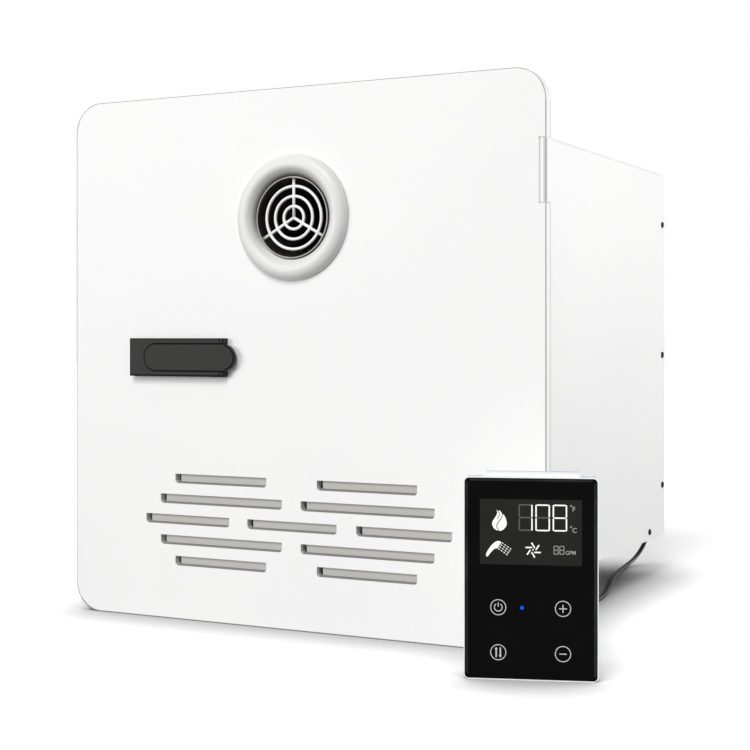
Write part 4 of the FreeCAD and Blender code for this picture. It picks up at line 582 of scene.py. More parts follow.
@dataclass(frozen=True)
class FunnelShadePaint(PowderCoat):
    """Powder paint with painted shade in the exhaust's funnel: darker towards the mouth, most on
    its upper left side.
    """

    funnel_shade: str = "#3A3A39"
    mouth: Point = (0.0, 0.0, mm(EXHAUST_MM))
    shade_side: Point = (-0.64, 0.0, 0.77)
    fades_mm: Pair = (29.8, 33.4)
    spreads: Pair = (-0.35, 0.85)
    cover: float = 0.84

    def make(self) -> bpy.types.Material:
        """The material: painted shade from the mouth outwards, most of it on the upper left side.
        """
        material = super().make()
        tree = material.node_tree
        shader = next(node for node in tree.nodes if node.type == "BSDF_PRINCIPLED")
        clean = shader.inputs["Base Color"].links[0].from_socket
        where = add(tree, "ShaderNodeTexCoord").outputs["Object"]
        away = add(tree, "ShaderNodeVectorMath", {"operation": "SUBTRACT", 1: self.mouth},
                   {0: where})
        flat = add(tree, "ShaderNodeVectorMath", {"operation": "MULTIPLY", 1: (1.0, 0.0, 1.0)},
                   {0: away.outputs[0]})
        far = add(tree, "ShaderNodeVectorMath", {"operation": "LENGTH"}, {0: flat.outputs[0]})
        near = add(tree, "ShaderNodeMapRange",
                   {"interpolation_type": "SMOOTHSTEP", "From Min": mm(self.fades_mm[0]),
                    "From Max": mm(self.fades_mm[1]), "To Min": 1.0, "To Max": 0.0},
                   {"Value": far.outputs["Value"]})
        way = add(tree, "ShaderNodeVectorMath", {"operation": "NORMALIZE"}, {0: flat.outputs[0]})
        toward_shade = add(tree, "ShaderNodeVectorMath", {"operation": "DOT_PRODUCT", 1: self.shade_side},
                   {0: way.outputs[0]})
        above = add(tree, "ShaderNodeMapRange",
                    {"interpolation_type": "SMOOTHSTEP", "From Min": self.spreads[0],
                     "From Max": self.spreads[1], "To Min": 0.0, "To Max": self.cover},
                    {"Value": toward_shade.outputs["Value"]})
        # painted shade: the colour darkens towards the mouth and towards the funnel's upper left
        # side
        both = add(tree, "ShaderNodeMath", {"operation": "MULTIPLY"},
                   {0: near.outputs[0], 1: above.outputs[0]})
        mixed = add(tree, "ShaderNodeMix", {"data_type": "RGBA", MIX_SECOND: linear(self.funnel_shade)},
                    {0: both.outputs[0], MIX_FIRST: clean})
        tree.links.new(mixed.outputs[MIX_COLOUR], shader.inputs["Base Color"])
        return material


@dataclass(frozen=True)
class SpangledZinc(Finish):
    """Hot-dip galvanised sheet: crystals 7 mm across, each with its own grey and gloss."""

    crystal_mm: float = 7.0
    bend_mm: float = 4.0
    warp_mm: float = 2.0
    darker: str = "#A9ADB0"

    def make(self) -> bpy.types.Material:
        """The material."""
        material, tree, shader, where = self.start({"Metallic": 1.0})
        bend = add(tree, "ShaderNodeTexNoise", {"Scale": 1 / mm(self.bend_mm), "Detail": 2.0},
                   {"Vector": where})
        warped = add(tree, "ShaderNodeVectorMath",
                     {"operation": "MULTIPLY_ADD", 1: (mm(self.warp_mm),) * 3},
                     {0: bend.outputs["Color"], 2: where})
        cells = add(tree, "ShaderNodeTexVoronoi", {"Scale": 1 / mm(self.crystal_mm)},
                    {"Vector": warped.outputs["Vector"]})
        grey = add(tree, "ShaderNodeSeparateColor", links={"Color": cells.outputs["Color"]})
        self.tinted(tree, shader, grey.outputs["Red"], self.darker, self.base)
        self.rough(tree, shader, grey.outputs["Green"], 0.1)
        self.bumped(tree, shader, cells.outputs["Distance"], mm(0.03), 0.35)
        return material


@dataclass(frozen=True)
class BrushedMetal(Finish):
    """Sheet or bar brushed one way: scratches 0.3 mm apart drawn out along the grain."""

    grain_mm: float = 0.3
    stretch: Point = (0.02, 1.0, 1.0)
    tint: str = "#8F8D88"
    smear_mm: float = 40.0

    def make(self) -> bpy.types.Material:
        """The material."""
        material, tree, shader, where = self.start({"Metallic": 1.0})
        drawn = add(tree, "ShaderNodeMapping", {"Scale": self.stretch}, {"Vector": where})
        grain = add(tree, "ShaderNodeTexNoise",
                    {"Scale": 1 / mm(self.grain_mm), "Detail": 3.0, "Roughness": 0.65},
                    {"Vector": drawn.outputs["Vector"]})
        smear = add(tree, "ShaderNodeTexNoise", {"Scale": 1 / mm(self.smear_mm), "Detail": 3.0},
                    {"Vector": where})
        self.tinted(tree, shader, smear.outputs["Fac"], self.tint, self.base)
        self.rough(tree, shader, grain.outputs["Fac"], 0.12)
        self.bumped(tree, shader, grain.outputs["Fac"], mm(0.01), 0.4)
        return material


@dataclass(frozen=True)
class MouldedPlastic(Finish):
    """Moulded ABS or nylon: spark-eroded texture 0.35 mm across, slightly waxy."""

    grain_mm: float = 0.35
    depth_mm: float = 0.012
    lighter: str = "#202020"
    shine: float = 0.5
    haze_mm: float = 25.0

    def make(self) -> bpy.types.Material:
        """The material."""
        material, tree, shader, where = self.start({"IOR": 1.5, "Specular IOR Level": self.shine})
        grain = add(tree, "ShaderNodeTexNoise",
                    {"Scale": 1 / mm(self.grain_mm), "Detail": 3.0, "Roughness": 0.6},
                    {"Vector": where})
        haze = add(tree, "ShaderNodeTexNoise", {"Scale": 1 / mm(self.haze_mm), "Detail": 2.0},
                   {"Vector": where})
        self.tinted(tree, shader, haze.outputs["Fac"], self.base, self.lighter)
        self.rough(tree, shader, haze.outputs["Fac"], 0.04)
        self.bumped(tree, shader, grain.outputs["Fac"], mm(self.depth_mm), 0.6)
        return material


@dataclass(frozen=True)
class CellFoam(Finish):
    """Closed-cell sponge rubber: skinned pores about 0.8 mm across."""

    pore_mm: float = 0.8
    deep: str = "#101010"
    skin: str = "#2B2B2C"

    def make(self) -> bpy.types.Material:
        """The material."""
        material, tree, shader, where = self.start()
        pores = add(tree, "ShaderNodeTexVoronoi", {"Scale": 1 / mm(self.pore_mm)},
                    {"Vector": where})
        self.tinted(tree, shader, pores.outputs["Distance"], self.deep, self.skin)
        self.bumped(tree, shader, pores.outputs["Distance"], mm(0.25), 0.8)
        return material


@dataclass(frozen=True)
class HeatedCopper(Finish):
    """Drawn copper that has been warm: bright metal with brown and rose clouds 30 mm across."""

    cloud: str = "#8A4B30"
    cloud_mm: float = 30.0
    drawn_mm: float = 0.6

    def make(self) -> bpy.types.Material:
        """The material."""
        material, tree, shader, where = self.start({"Metallic": 1.0})
        clouds = add(tree, "ShaderNodeTexNoise",
                     {"Scale": 1 / mm(self.cloud_mm), "Detail": 5.0, "Roughness": 0.6},
                     {"Vector": where})
        self.tinted(tree, shader, clouds.outputs["Fac"], self.cloud, self.base)
        self.rough(tree, shader, clouds.outputs["Fac"], 0.12)
        drawn = add(tree, "ShaderNodeTexNoise", {"Scale": 1 / mm(self.drawn_mm), "Detail": 2.0},
                    {"Vector": where})
        self.bumped(tree, shader, drawn.outputs["Fac"], mm(0.01), 0.3)
        return material


@dataclass(frozen=True)
class TurnedMetal(Finish):
    """Brass or aluminium, turned or die cast: a 0.5 mm tooled or sandy skin."""

    skin_mm: float = 0.5
    dull: str = "#8B8B8C"
    depth_mm: float = 0.02
    smear_mm: float = 18.0

    def make(self) -> bpy.types.Material:
        """The material."""
        material, tree, shader, where = self.start({"Metallic": 1.0})
        skin = add(tree, "ShaderNodeTexNoise",
                   {"Scale": 1 / mm(self.skin_mm), "Detail": 4.0}, {"Vector": where})
        smear = add(tree, "ShaderNodeTexNoise", {"Scale": 1 / mm(self.smear_mm), "Detail": 3.0},
                    {"Vector": where})
        self.tinted(tree, shader, smear.outputs["Fac"], self.dull, self.base)
        self.rough(tree, shader, smear.outputs["Fac"], 0.08)
        self.bumped(tree, shader, skin.outputs["Fac"], mm(self.depth_mm), 0.5)
        return material


@dataclass(frozen=True)
class GlazedCeramic(Finish):
    """Fired and glazed alumina: clean, glossy, a little warm, with pinholes 1.2 mm apart."""

    pin_mm: float = 1.2
    dull: str = "#CFCBC0"

    def make(self) -> bpy.types.Material:
        """The material."""
        material, tree, shader, where = self.start({"Coat Weight": 0.5, "Coat Roughness": 0.1})
        pin = add(tree, "ShaderNodeTexVoronoi", {"Scale": 1 / mm(self.pin_mm)},
                  {"Vector": where})
        self.tinted(tree, shader, pin.outputs["Distance"], self.dull, self.base)
        self.bumped(tree, shader, pin.outputs["Distance"], mm(0.02), 0.3)
        return material


@dataclass(frozen=True)
class SolderMask(Finish):
    """Green lacquer over copper: tracks 1.2 mm wide show as lighter raised bands."""

    TRACKS_PER_CELL: ClassVar[int] = 6
    track_mm: float = 1.2
    between: str = "#0C3A20"

    def make(self) -> bpy.types.Material:
        """The material."""
        material, tree, shader, where = self.start()
        tracks = add(tree, "ShaderNodeTexVoronoi",
                     {"distance": "MANHATTAN", "feature": "F2",
                      "Scale": 1 / mm(self.track_mm * self.TRACKS_PER_CELL)}, {"Vector": where})
        bands = add(tree, "ShaderNodeMath", {"operation": "PINGPONG", 1: 0.12},
                    {0: tracks.outputs["Distance"]})
        step = add(tree, "ShaderNodeMapRange", {"From Min": 0.05, "From Max": 0.07},
                   {"Value": bands.outputs["Value"]})
        self.tinted(tree, shader, step.outputs["Result"], self.between, self.base)
        self.bumped(tree, shader, step.outputs["Result"], mm(0.035), 0.7)
        return material


@dataclass(frozen=True)
class InkedGlass(Finish):
    """Glass printed black from behind: even, deep and glossy, its shine kept low."""

    shine: float = 0.07
    haze_mm: float = 30.0
    deeper: str = "#0A0A0A"

    def make(self) -> bpy.types.Material:
        """The material."""
        material, tree, shader, where = self.start({"IOR": 1.5, "Specular IOR Level": self.shine})
        haze = add(tree, "ShaderNodeTexNoise", {"Scale": 1 / mm(self.haze_mm), "Detail": 2.0},
                   {"Vector": where})
        self.tinted(tree, shader, haze.outputs["Fac"], self.base, self.deeper)
        self.rough(tree, shader, haze.outputs["Fac"], 0.02)
        return material


@dataclass(frozen=True)
class LitPrint(Finish):
    """A lit or printed sign under the glass: an even glow through a screen of dots.

    The real screen's dots are too fine to show, so they are drawn 0.6 mm apart.
    """

    glow: float = 0.6
    dim: str = "#DDDDDD"
    dots_mm: float = 0.6

    def make(self) -> bpy.types.Material:
        """The material."""
        material, tree, shader, where = self.start(
            {"Specular IOR Level": 0.0, "Emission Strength": self.glow})
        dots = add(tree, "ShaderNodeTexVoronoi", {"Scale": 1 / mm(self.dots_mm)},
                   {"Vector": where})
        colour = self.tinted(tree, shader, dots.outputs["Distance"], self.base, self.dim)
        tree.links.new(colour, shader.inputs["Emission Color"])
        return material


@dataclass(frozen=True)
class CableSheath(Finish):
    """Extruded soft PVC: satin, with faint draw lines 0.4 mm apart and a little dust."""

    drawn_mm: float = 0.4
    dust_mm: float = 9.0
    dusty: str = "#3A3A3C"

    def make(self) -> bpy.types.Material:
        """The material."""
        material, tree, shader, where = self.start({"Specular IOR Level": 0.4})
        dust = add(tree, "ShaderNodeTexNoise", {"Scale": 1 / mm(self.dust_mm), "Detail": 4.0},
                   {"Vector": where})
        self.tinted(tree, shader, dust.outputs["Fac"], self.base, self.dusty)
        skin = add(tree, "ShaderNodeTexNoise", {"Scale": 1 / mm(self.drawn_mm), "Detail": 2.0},
                   {"Vector": where})
        self.bumped(tree, shader, skin.outputs["Fac"], mm(0.01), 0.4)
        self.rough(tree, shader, dust.outputs["Fac"], 0.06)
        return material


class Finishes:
    """All the finishes, made once and looked up by the record's slot name."""

    SLOTS: ClassVar[dict[str, Finish]] = {
        # powder coat: smooth satin white, the same on door, casing and flange
        "white_paint": PowderCoat("powder_coat_white", "#EBEBEA", 0.45, cooler="#E9E9E9"),
        # the same paint, thinner and flatter, on what lies behind the door
        "grey_paint": PowderCoat("powder_coat_grey", "#EDEDEB", 0.6, cooler="#E6E6E5"),
        # mill-galvanised sheet: grey crystals that catch the light one by one
        "galvanised_sheet": SpangledZinc("galvanised_sheet", "#C9CCCE", 0.42),
        # heat-blackened steel: dark heads with a dull glint and no grain
        "dark_screws": BrushedMetal("blackened_steel", "#3A3A3C", 0.45, 0.5, (1.0, 1.0, 1.0),
                                    "#2C2C2E"),
        # drawn bar: bright, with fine scratches along its length
        "bright_steel": BrushedMetal("drawn_steel", "#C4C4C3", 0.33, 0.25, (1.0, 1.0, 0.05),
                                     "#A7A7A6"),
        # brushed stainless, warmed by the flue gas, so a little straw-coloured
        "stainless": BrushedMetal("brushed_stainless", "#C6C3BD", 0.36, 0.3, (1.0, 0.03, 1.0),
                                  "#A59D8E"),
        # closed-cell sponge: a dull black seal full of small pores
        "black_foam": CellFoam("sponge_rubber", "#1C1C1D", 0.9),
        # moulded nylon: near-black, satin, with a fine spark-eroded skin
        "dark_latch": MouldedPlastic("moulded_nylon_dark", "#181817", 0.55, 0.2, 0.01, "#1C1C1A",
                                     0.35),
        # moulded ABS: black, a little shinier than the nylon
        "black_plastic": MouldedPlastic("moulded_abs_black", "#161616", 0.5, 0.35, 0.012,
                                        "#1F1F1F", 0.4),
        # moulded ABS: clean white with soft highlights
        "white_plastic": MouldedPlastic("moulded_abs_white", "#F2F2F2", 0.4, 0.35, 0.006,
                                        "#EDEDEE", 0.5),
        # drawn copper tube: rose metal clouded brown by heat
        "copper": HeatedCopper("drawn_copper", "#D98A63", 0.34),
        # turned brass: yellow metal, bright where the tool left it
        "brass_fittings": TurnedMetal("turned_brass", "#D9B25E", 0.27, 0.4, "#B88F45", 0.01),
        # die-cast aluminium: pale grey with a sandy skin
        "cast_aluminium": TurnedMetal("die_cast_aluminium", "#C2C3C5", 0.5, 0.7, "#A3A4A6"),
        # glazed alumina: glossy cream
        "ceramic": GlazedCeramic("glazed_alumina", "#ECE8DD", 0.25),
        # solder mask: green lacquer with raised lighter tracks
        "circuit_board": SolderMask("solder_mask_green", "#1B6A3B", 0.4),
        # polycarbonate rim: glossier and whiter than the housing
        "controller_rim": MouldedPlastic("moulded_pc_gloss_white", "#F6F6F6", 0.22, 0.6, 0.002,
                                         "#F2F2F2", 0.5),
        # back-printed glass: deep even black under a low shine
        "controller_glass": InkedGlass("back_printed_glass", "#0D0D0D", 0.12),
        # polariser film: a flat dark grey window in the black
        "display_screen": MouldedPlastic("display_polariser", "#242423", 0.4, 0.2, 0.003,
                                         "#272726", 0.1),
        # soft PVC sheath: satin near-black with a little dust
        "cord_rubber": CableSheath("soft_pvc_sheath", "#232324", 0.5),
    }
    EXTRA: ClassVar[dict[str, Finish]] = {
        # the display's white bars, its unlit bars, the printed signs and the blue lamp
        "lit": LitPrint("lit_segment_white", "#F4F4F2", 0.5, 0.35),
        "faint": LitPrint("unlit_segment_grey", "#5E5E5C", 0.5, 0.12, "#585856"),
        "small_sign": LitPrint("printed_sign_grey", "#A8A8A7", 0.5, 0.1, "#9C9C9B"),
        "small_key": LitPrint("printed_sign_white", "#CACAC8", 0.5, 0.1, "#BEBEBC"),
        "led": LitPrint("blue_led_lens", "#0D5CF0", 0.3, 0.3, "#0850E0"),
        # painted reflection: a greyer line round the black front, where the glass's bevel catches
        # the light
        "glass_edge": InkedGlass("glass_bevel_painted_reflection", "#2A2C2E", 0.25, 0.4),
        # painted shade, tinted cool: a line along the housing's rear edges, where the gloss white
        # turns from the light
        "cool_edge": MouldedPlastic("moulded_pc_painted_cool_shade", "#93A6C8", 0.4, 0.3, 0.002, "#9DB0D2",
                                    0.1),
        # painted shadow: near black, for the unlit bottom of narrow gaps in black plastic and the
        # shade along edges
        "shadow_gap": MouldedPlastic("moulded_abs_painted_shadow", "#0A0A0A", 0.7, 0.4, 0.01, "#0D0D0D",
                                     0.1),
        # powder coat round the exhaust: white outside, with painted shade in the funnel round the
        # mouth
        "ring_paint": FunnelShadePaint("powder_coat_painted_funnel_shade", "#DDDDDC", 0.42, cooler="#D9D9D8"),
        # painted shade: grey lines for the edges and bends that turn from the light, pale, darker
        # and paler still
        "edge_pale": PowderCoat("painted_edge_shade_pale", "#9A9A98", 0.5, cooler="#969694"),
        "edge_dark": PowderCoat("painted_edge_shade_dark", "#A3A29F", 0.5, cooler="#9F9E9B"),
        "bend_pale": PowderCoat("painted_bend_shade", "#C0C0BF", 0.5, cooler="#BCBCBB"),
        # painted shade: dark grey for the door's foot line and the slots' sills, a lighter grey
        # for the shaded inside of the slots
        "sill_paint": PowderCoat("painted_deep_shade", "#757573", 0.6, cooler="#72726F"),
        "plate_paint": PowderCoat("powder_coat_painted_slot_shade", "#B4B3AF", 0.6, cooler="#B0AFAB"),
        # enamelled wire: bright, even white
        "guard_wire": PowderCoat("enamelled_wire", "#F4F4F4", 0.4, cooler="#F2F2F2"),
    }

    def __init__(self) -> None:
        """Makes every material."""
        self.made = {key: finish.make() for key, finish in {**self.SLOTS, **self.EXTRA}.items()}

    def __getitem__(self, key: str) -> bpy.types.Material:
        """The material of a slot or an extra finish."""
        return self.made[key]

    def dress(self, record: dict, nodes: dict[str, bpy.types.Object]) -> None:
        """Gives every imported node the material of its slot.

        Args:
            record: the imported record.
            nodes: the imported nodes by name.
        """
        for entry in record["subparts"]:
            for held in nodes[entry["node"]].material_slots:
                held.link = "OBJECT"
                held.material = self[entry["material_slot"]]


# ---------------------------------------------------------------------------------
# Camera, floor and light
# ---------------------------------------------------------------------------------
@dataclass(frozen=True)
class Lamp:
    """One broad, far lamp.

    It shines from a direction, looks so many degrees wide from the object and gives so
    many watts for each square metre.
    """

    name: str
    comes_from: Point
    spread: float
    strength: float

    def build(self) -> None:
        """Makes the lamp and aims it at the object."""
        lamp = bpy.data.lights.new(self.name, "SUN")
        lamp.angle = math.radians(self.spread)
        lamp.energy = self.strength
        holder = linked(self.name, lamp)
        holder.location = self.comes_from
        holder.rotation_euler = (-Vector(self.comes_from)).to_track_quat("-Z", "Y").to_euler()


@dataclass(frozen=True)
class Studio:
    """The camera, the pale floor and the soft lights."""

    camera_at: Point = (0.54007, -0.93971, 0.01527)
    camera_turn: float = 27.06
    lens: float = 72.758
    sensor: float = 36.0
    shift_y: float = -0.05044
    clip: Pair = (0.02, 60.0)
    world_strength: float = 0.36
    floor_reach: float = 9.0
    floor_tone: str = "#F6F6F6"
    floor_glow: float = 0.40
    bounce_tone: str = "#9C9C9C"
    contact_reach: float = mm(75.0)
    contact_power: float = 1.3
    contact_samples: int = 8
    lamps: tuple[Lamp, ...] = (Lamp("key_above", (0.10, -1.0, 0.95), 28.0, 1.95),
                               Lamp("key_left", (-0.60, -0.80, 0.12), 30.0, 1.42),
                               Lamp("side_right", (0.72, 0.68, 0.06), 24.0, 3.25))

    def build(self) -> None:
        """Makes everything that isn't part of the object."""
        self.camera()
        self.floor()
        self.world()
        for lamp in self.lamps:
            lamp.build()
        scene = bpy.context.scene
        scene.view_settings.view_transform = "Standard"
        scene.view_settings.look = "None"

    def camera(self) -> None:
        """The camera at the viewing angle, level, with its frame moved down."""
        eye = bpy.data.cameras.new("camera")
        eye.lens = self.lens
        eye.sensor_width = self.sensor
        eye.shift_y = self.shift_y
        eye.clip_start, eye.clip_end = self.clip
        holder = linked("camera", eye)
        holder.location = self.camera_at
        holder.rotation_euler = (math.radians(90), 0.0, math.radians(self.camera_turn))
        bpy.context.scene.camera = holder

    def floor(self) -> None:
        """A wide matt floor under the casing that glows a little, with painted shade: darker
        where something stands close.
        """
        shape = bmesh.new()
        bmesh.ops.create_grid(shape, x_segments=2, y_segments=2, size=self.floor_reach)
        bmesh.ops.translate(shape, verts=shape.verts, vec=(0, 0, mm(FLOOR_MM)))
        material = bpy.data.materials.new("matt_paper_sweep")
        material.use_nodes = True
        tree = material.node_tree
        tree.nodes.clear()
        # painted shade: the floor's colour darkens within contact_reach of what stands near it
        close = add(tree, "ShaderNodeAmbientOcclusion",
                    {"samples": self.contact_samples, "Distance": self.contact_reach})
        shade = add(tree, "ShaderNodeMath", {"operation": "POWER", 1: self.contact_power},
                    {0: close.outputs["AO"]})
        tone = add(tree, "ShaderNodeMix", {"data_type": "RGBA", "blend_type": "MULTIPLY",
                                           0: 1.0, MIX_FIRST: linear(self.floor_tone)},
                   {MIX_SECOND: shade.outputs[0]}).outputs[MIX_COLOUR]
        matt = add(tree, "ShaderNodeBsdfDiffuse", links={"Color": tone})
        glow = add(tree, "ShaderNodeEmission", {"Strength": self.floor_glow}, {"Color": tone})
        lit = add(tree, "ShaderNodeAddShader", links={0: matt.outputs["BSDF"],
                                                      1: glow.outputs["Emission"]})
        dim = add(tree, "ShaderNodeBsdfDiffuse", {"Color": linear(self.bounce_tone)})
        self.split(tree, "ShaderNodeOutputMaterial", dim.outputs["BSDF"], lit.outputs["Shader"])
        mesh_object("floor", as_mesh("floor", shape), material)

    def world(self) -> None:
        """An even white surround, pure white where the camera looks straight at it."""
        world = bpy.data.worlds.new("soft_box")
        world.use_nodes = True
        tree = world.node_tree
        tree.nodes.clear()
        seen, light = (add(tree, "ShaderNodeBackground",
                           {"Color": (1, 1, 1, 1), "Strength": strength}).outputs["Background"]
                       for strength in (1.0, self.world_strength))
        self.split(tree, "ShaderNodeOutputWorld", light, seen)
        bpy.context.scene.world = world

    def split(self, tree: bpy.types.NodeTree, output: str, light: bpy.types.NodeSocket,
              seen: bpy.types.NodeSocket) -> None:
        """Ends a tree with one shader for the light it gives and one for what is seen.

        Args:
            tree: the floor's or the world's tree.
            output: the type name of its last node.
            light: the shader that lights the object.
            seen: the shader that shows in the background.
        """
        path = add(tree, "ShaderNodeLightPath")
        both = add(tree, "ShaderNodeMixShader",
                   links={0: path.outputs["Is Camera Ray"], 1: light, 2: seen})
        add(tree, output, links={"Surface": both.outputs["Shader"]})


# ---------------------------------------------------------------------------------
# Cable
# ---------------------------------------------------------------------------------
@dataclass
class ControlCable:
    """The thin cable from the casing's back, through its stored coil, to the controller.

    All places are in mm. The coil's turns lie side by side in columns and rows one
    thickness apart, from the outermost column of the lowest row upwards.
    """

    THICK: ClassVar[float] = 3.6
    LIES: ClassVar[float] = FLOOR_MM + THICK / 2

    coil_centre: Pair = (150.0, 72.0)
    coil_middle: float = 21.5
    coil_foot: float = -189.9
    columns: int = 5
    rows: int = 4
    enters_at: float = 180.0
    leaves_at: float = 250.0
    steps_over_from: float = 0.8
    knots_per_turn: int = 18
    tie_sheet: float = 0.8
    tie_width: float = 6.0
    tie_turn: float = 20.0
    tie_half: float = 9.1
    tie_heights: Pair = (-191.7, -177.1)
    tie_corners: Pair = (2.4, 1.7)
    rear: tuple[Point, ...] = ((137, 374, -143), (137, 396, -143), (132, 413, -155),
                               (128, 413, -173), (122.5, 402, -186), (120, 380, LIES),
                               (124.5, 346, LIES), (134, 298, LIES), (147, 248, LIES),
                               (155, 206, LIES), (154, 165, LIES), (144, 130, LIES),
                               (125, 99, LIES))
    front: tuple[Point, ...] = ((159, 39.5, -186.5), (177, 29, LIES), (192, 14.5, LIES),
                                (200.5, -3, LIES), (203.015, -27.61, -172.5),
                                (209.784, -47.49, -172.5))

    def turns(self) -> list[Pair]:
        """Each turn's radius and height, in the order in which the cable runs through them."""
        order: list[Pair] = []
        for row in range(self.rows):
            across = [self.coil_middle + self.THICK * ((self.columns - 1) / 2 - column)
                      for column in range(self.columns)]
            if row % 2:
                across.reverse()
            order.extend((radius, self.coil_foot + self.THICK * row) for radius in across)
        return order

    def coil_points(self) -> list[Vector]:
        """The coil's knots: a turn ends by stepping over to the next one's place."""
        order = self.turns()
        total = len(order) * 360.0 - ((self.enters_at - self.leaves_at) % 360.0)
        count = round(total / 360.0 * self.knots_per_turn)
        # The curve cuts its knots' corners, so the knots lie a little outside it.
        swell = (1.0 + 1.0 / math.cos(math.pi / self.knots_per_turn)) / 2
        places = []
        for step in range(count + 1):
            turned = total * step / count
            turn = min(int(turned // 360.0), len(order) - 1)
            part = (turned - turn * 360.0) / 360.0
            radius, height = order[turn]
            if turn + 1 < len(order):
                blend = max(0.0, (part - self.steps_over_from) / (1.0 - self.steps_over_from))
                blend = blend * blend * (3 - 2 * blend)
                radius += (order[turn + 1][0] - radius) * blend
                height += (order[turn + 1][1] - height) * blend
            angle = math.radians(self.enters_at + turned)
            places.append(place_mm(self.coil_centre[0] + radius * swell * math.cos(angle),
                                   self.coil_centre[1] + radius * swell * math.sin(angle),
                                   height))
        return places

    def build(self, finishes: Finishes, nodes: dict[str, bpy.types.Object]) -> None:
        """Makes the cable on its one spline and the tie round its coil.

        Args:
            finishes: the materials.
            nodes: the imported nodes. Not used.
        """
        knots = [*(place_mm(*point) for point in self.rear), *self.coil_points(),
                 *(place_mm(*point) for point in self.front)]
        line = bpy.data.curves.new("control_cable", "CURVE")
        line.dimensions = "3D"
        line.resolution_u = 6
        run = line.splines.new("NURBS")
        run.points.add(len(knots) - 1)
        for held, knot in zip(run.points, knots):
            held.co = (*knot, 1.0)
        run.order_u = 3
        run.use_endpoint_u = True
        piece = linked("control_cable", line)
        path = evaluated(piece)
        bpy.data.meshes.remove(path)
        line.bevel_depth = mm(self.THICK) / 2
        line.bevel_resolution = 4
        line.use_fill_caps = True
        line.materials.append(finishes["cord_rubber"])
        finished(piece, Body.ROOT, "cord_rubber", "cord_rear_run", "cord_front_run", "cord_coil")
        tie = self.tie(finishes)

    def tie(self, finishes: Finishes) -> bpy.types.Object:
        """The flat tie that holds the turns together, as a closed loop round them.

        Args:
            finishes: the materials.

        Returns:
            The tie.
        """
        out = Vector((math.cos(math.radians(self.tie_turn)),
                      math.sin(math.radians(self.tie_turn)), 0))
        side = Vector((-out.y, out.x, 0))
        centre = Vector((*self.coil_centre, 0))

        def spot(u: float, v: float, depth: float) -> Vector:
            """A place on the tie from its distance from the coil's axis and its height."""
            return (centre + out * u + side * depth + Vector((0, 0, v))) * 0.001

        outer, inner = (
            round_corners(rectangle(self.coil_middle - self.tie_half - sheet,
                                    self.coil_middle + self.tie_half + sheet,
                                    self.tie_heights[0] - sheet, self.tie_heights[1] + sheet),
                          corner, 5)
            for sheet, corner in zip((self.tie_sheet, 0.0), self.tie_corners))
        shape = extruded(outer, [inner], (-self.tie_width / 2, self.tie_width / 2), spot)
        piece = from_bmesh("cable_tie", shape, finishes["black_plastic"])
        return finished(piece, Body.ROOT, "black_plastic")


# ---------------------------------------------------------------------------------
# Controller
# ---------------------------------------------------------------------------------
class Segment(Enum):
    """The seven bars of a display digit."""

    TOP = "a"
    UPPER_RIGHT = "b"
    LOWER_RIGHT = "c"
    BOTTOM = "d"
    LOWER_LEFT = "e"
    UPPER_LEFT = "f"
    MIDDLE = "g"


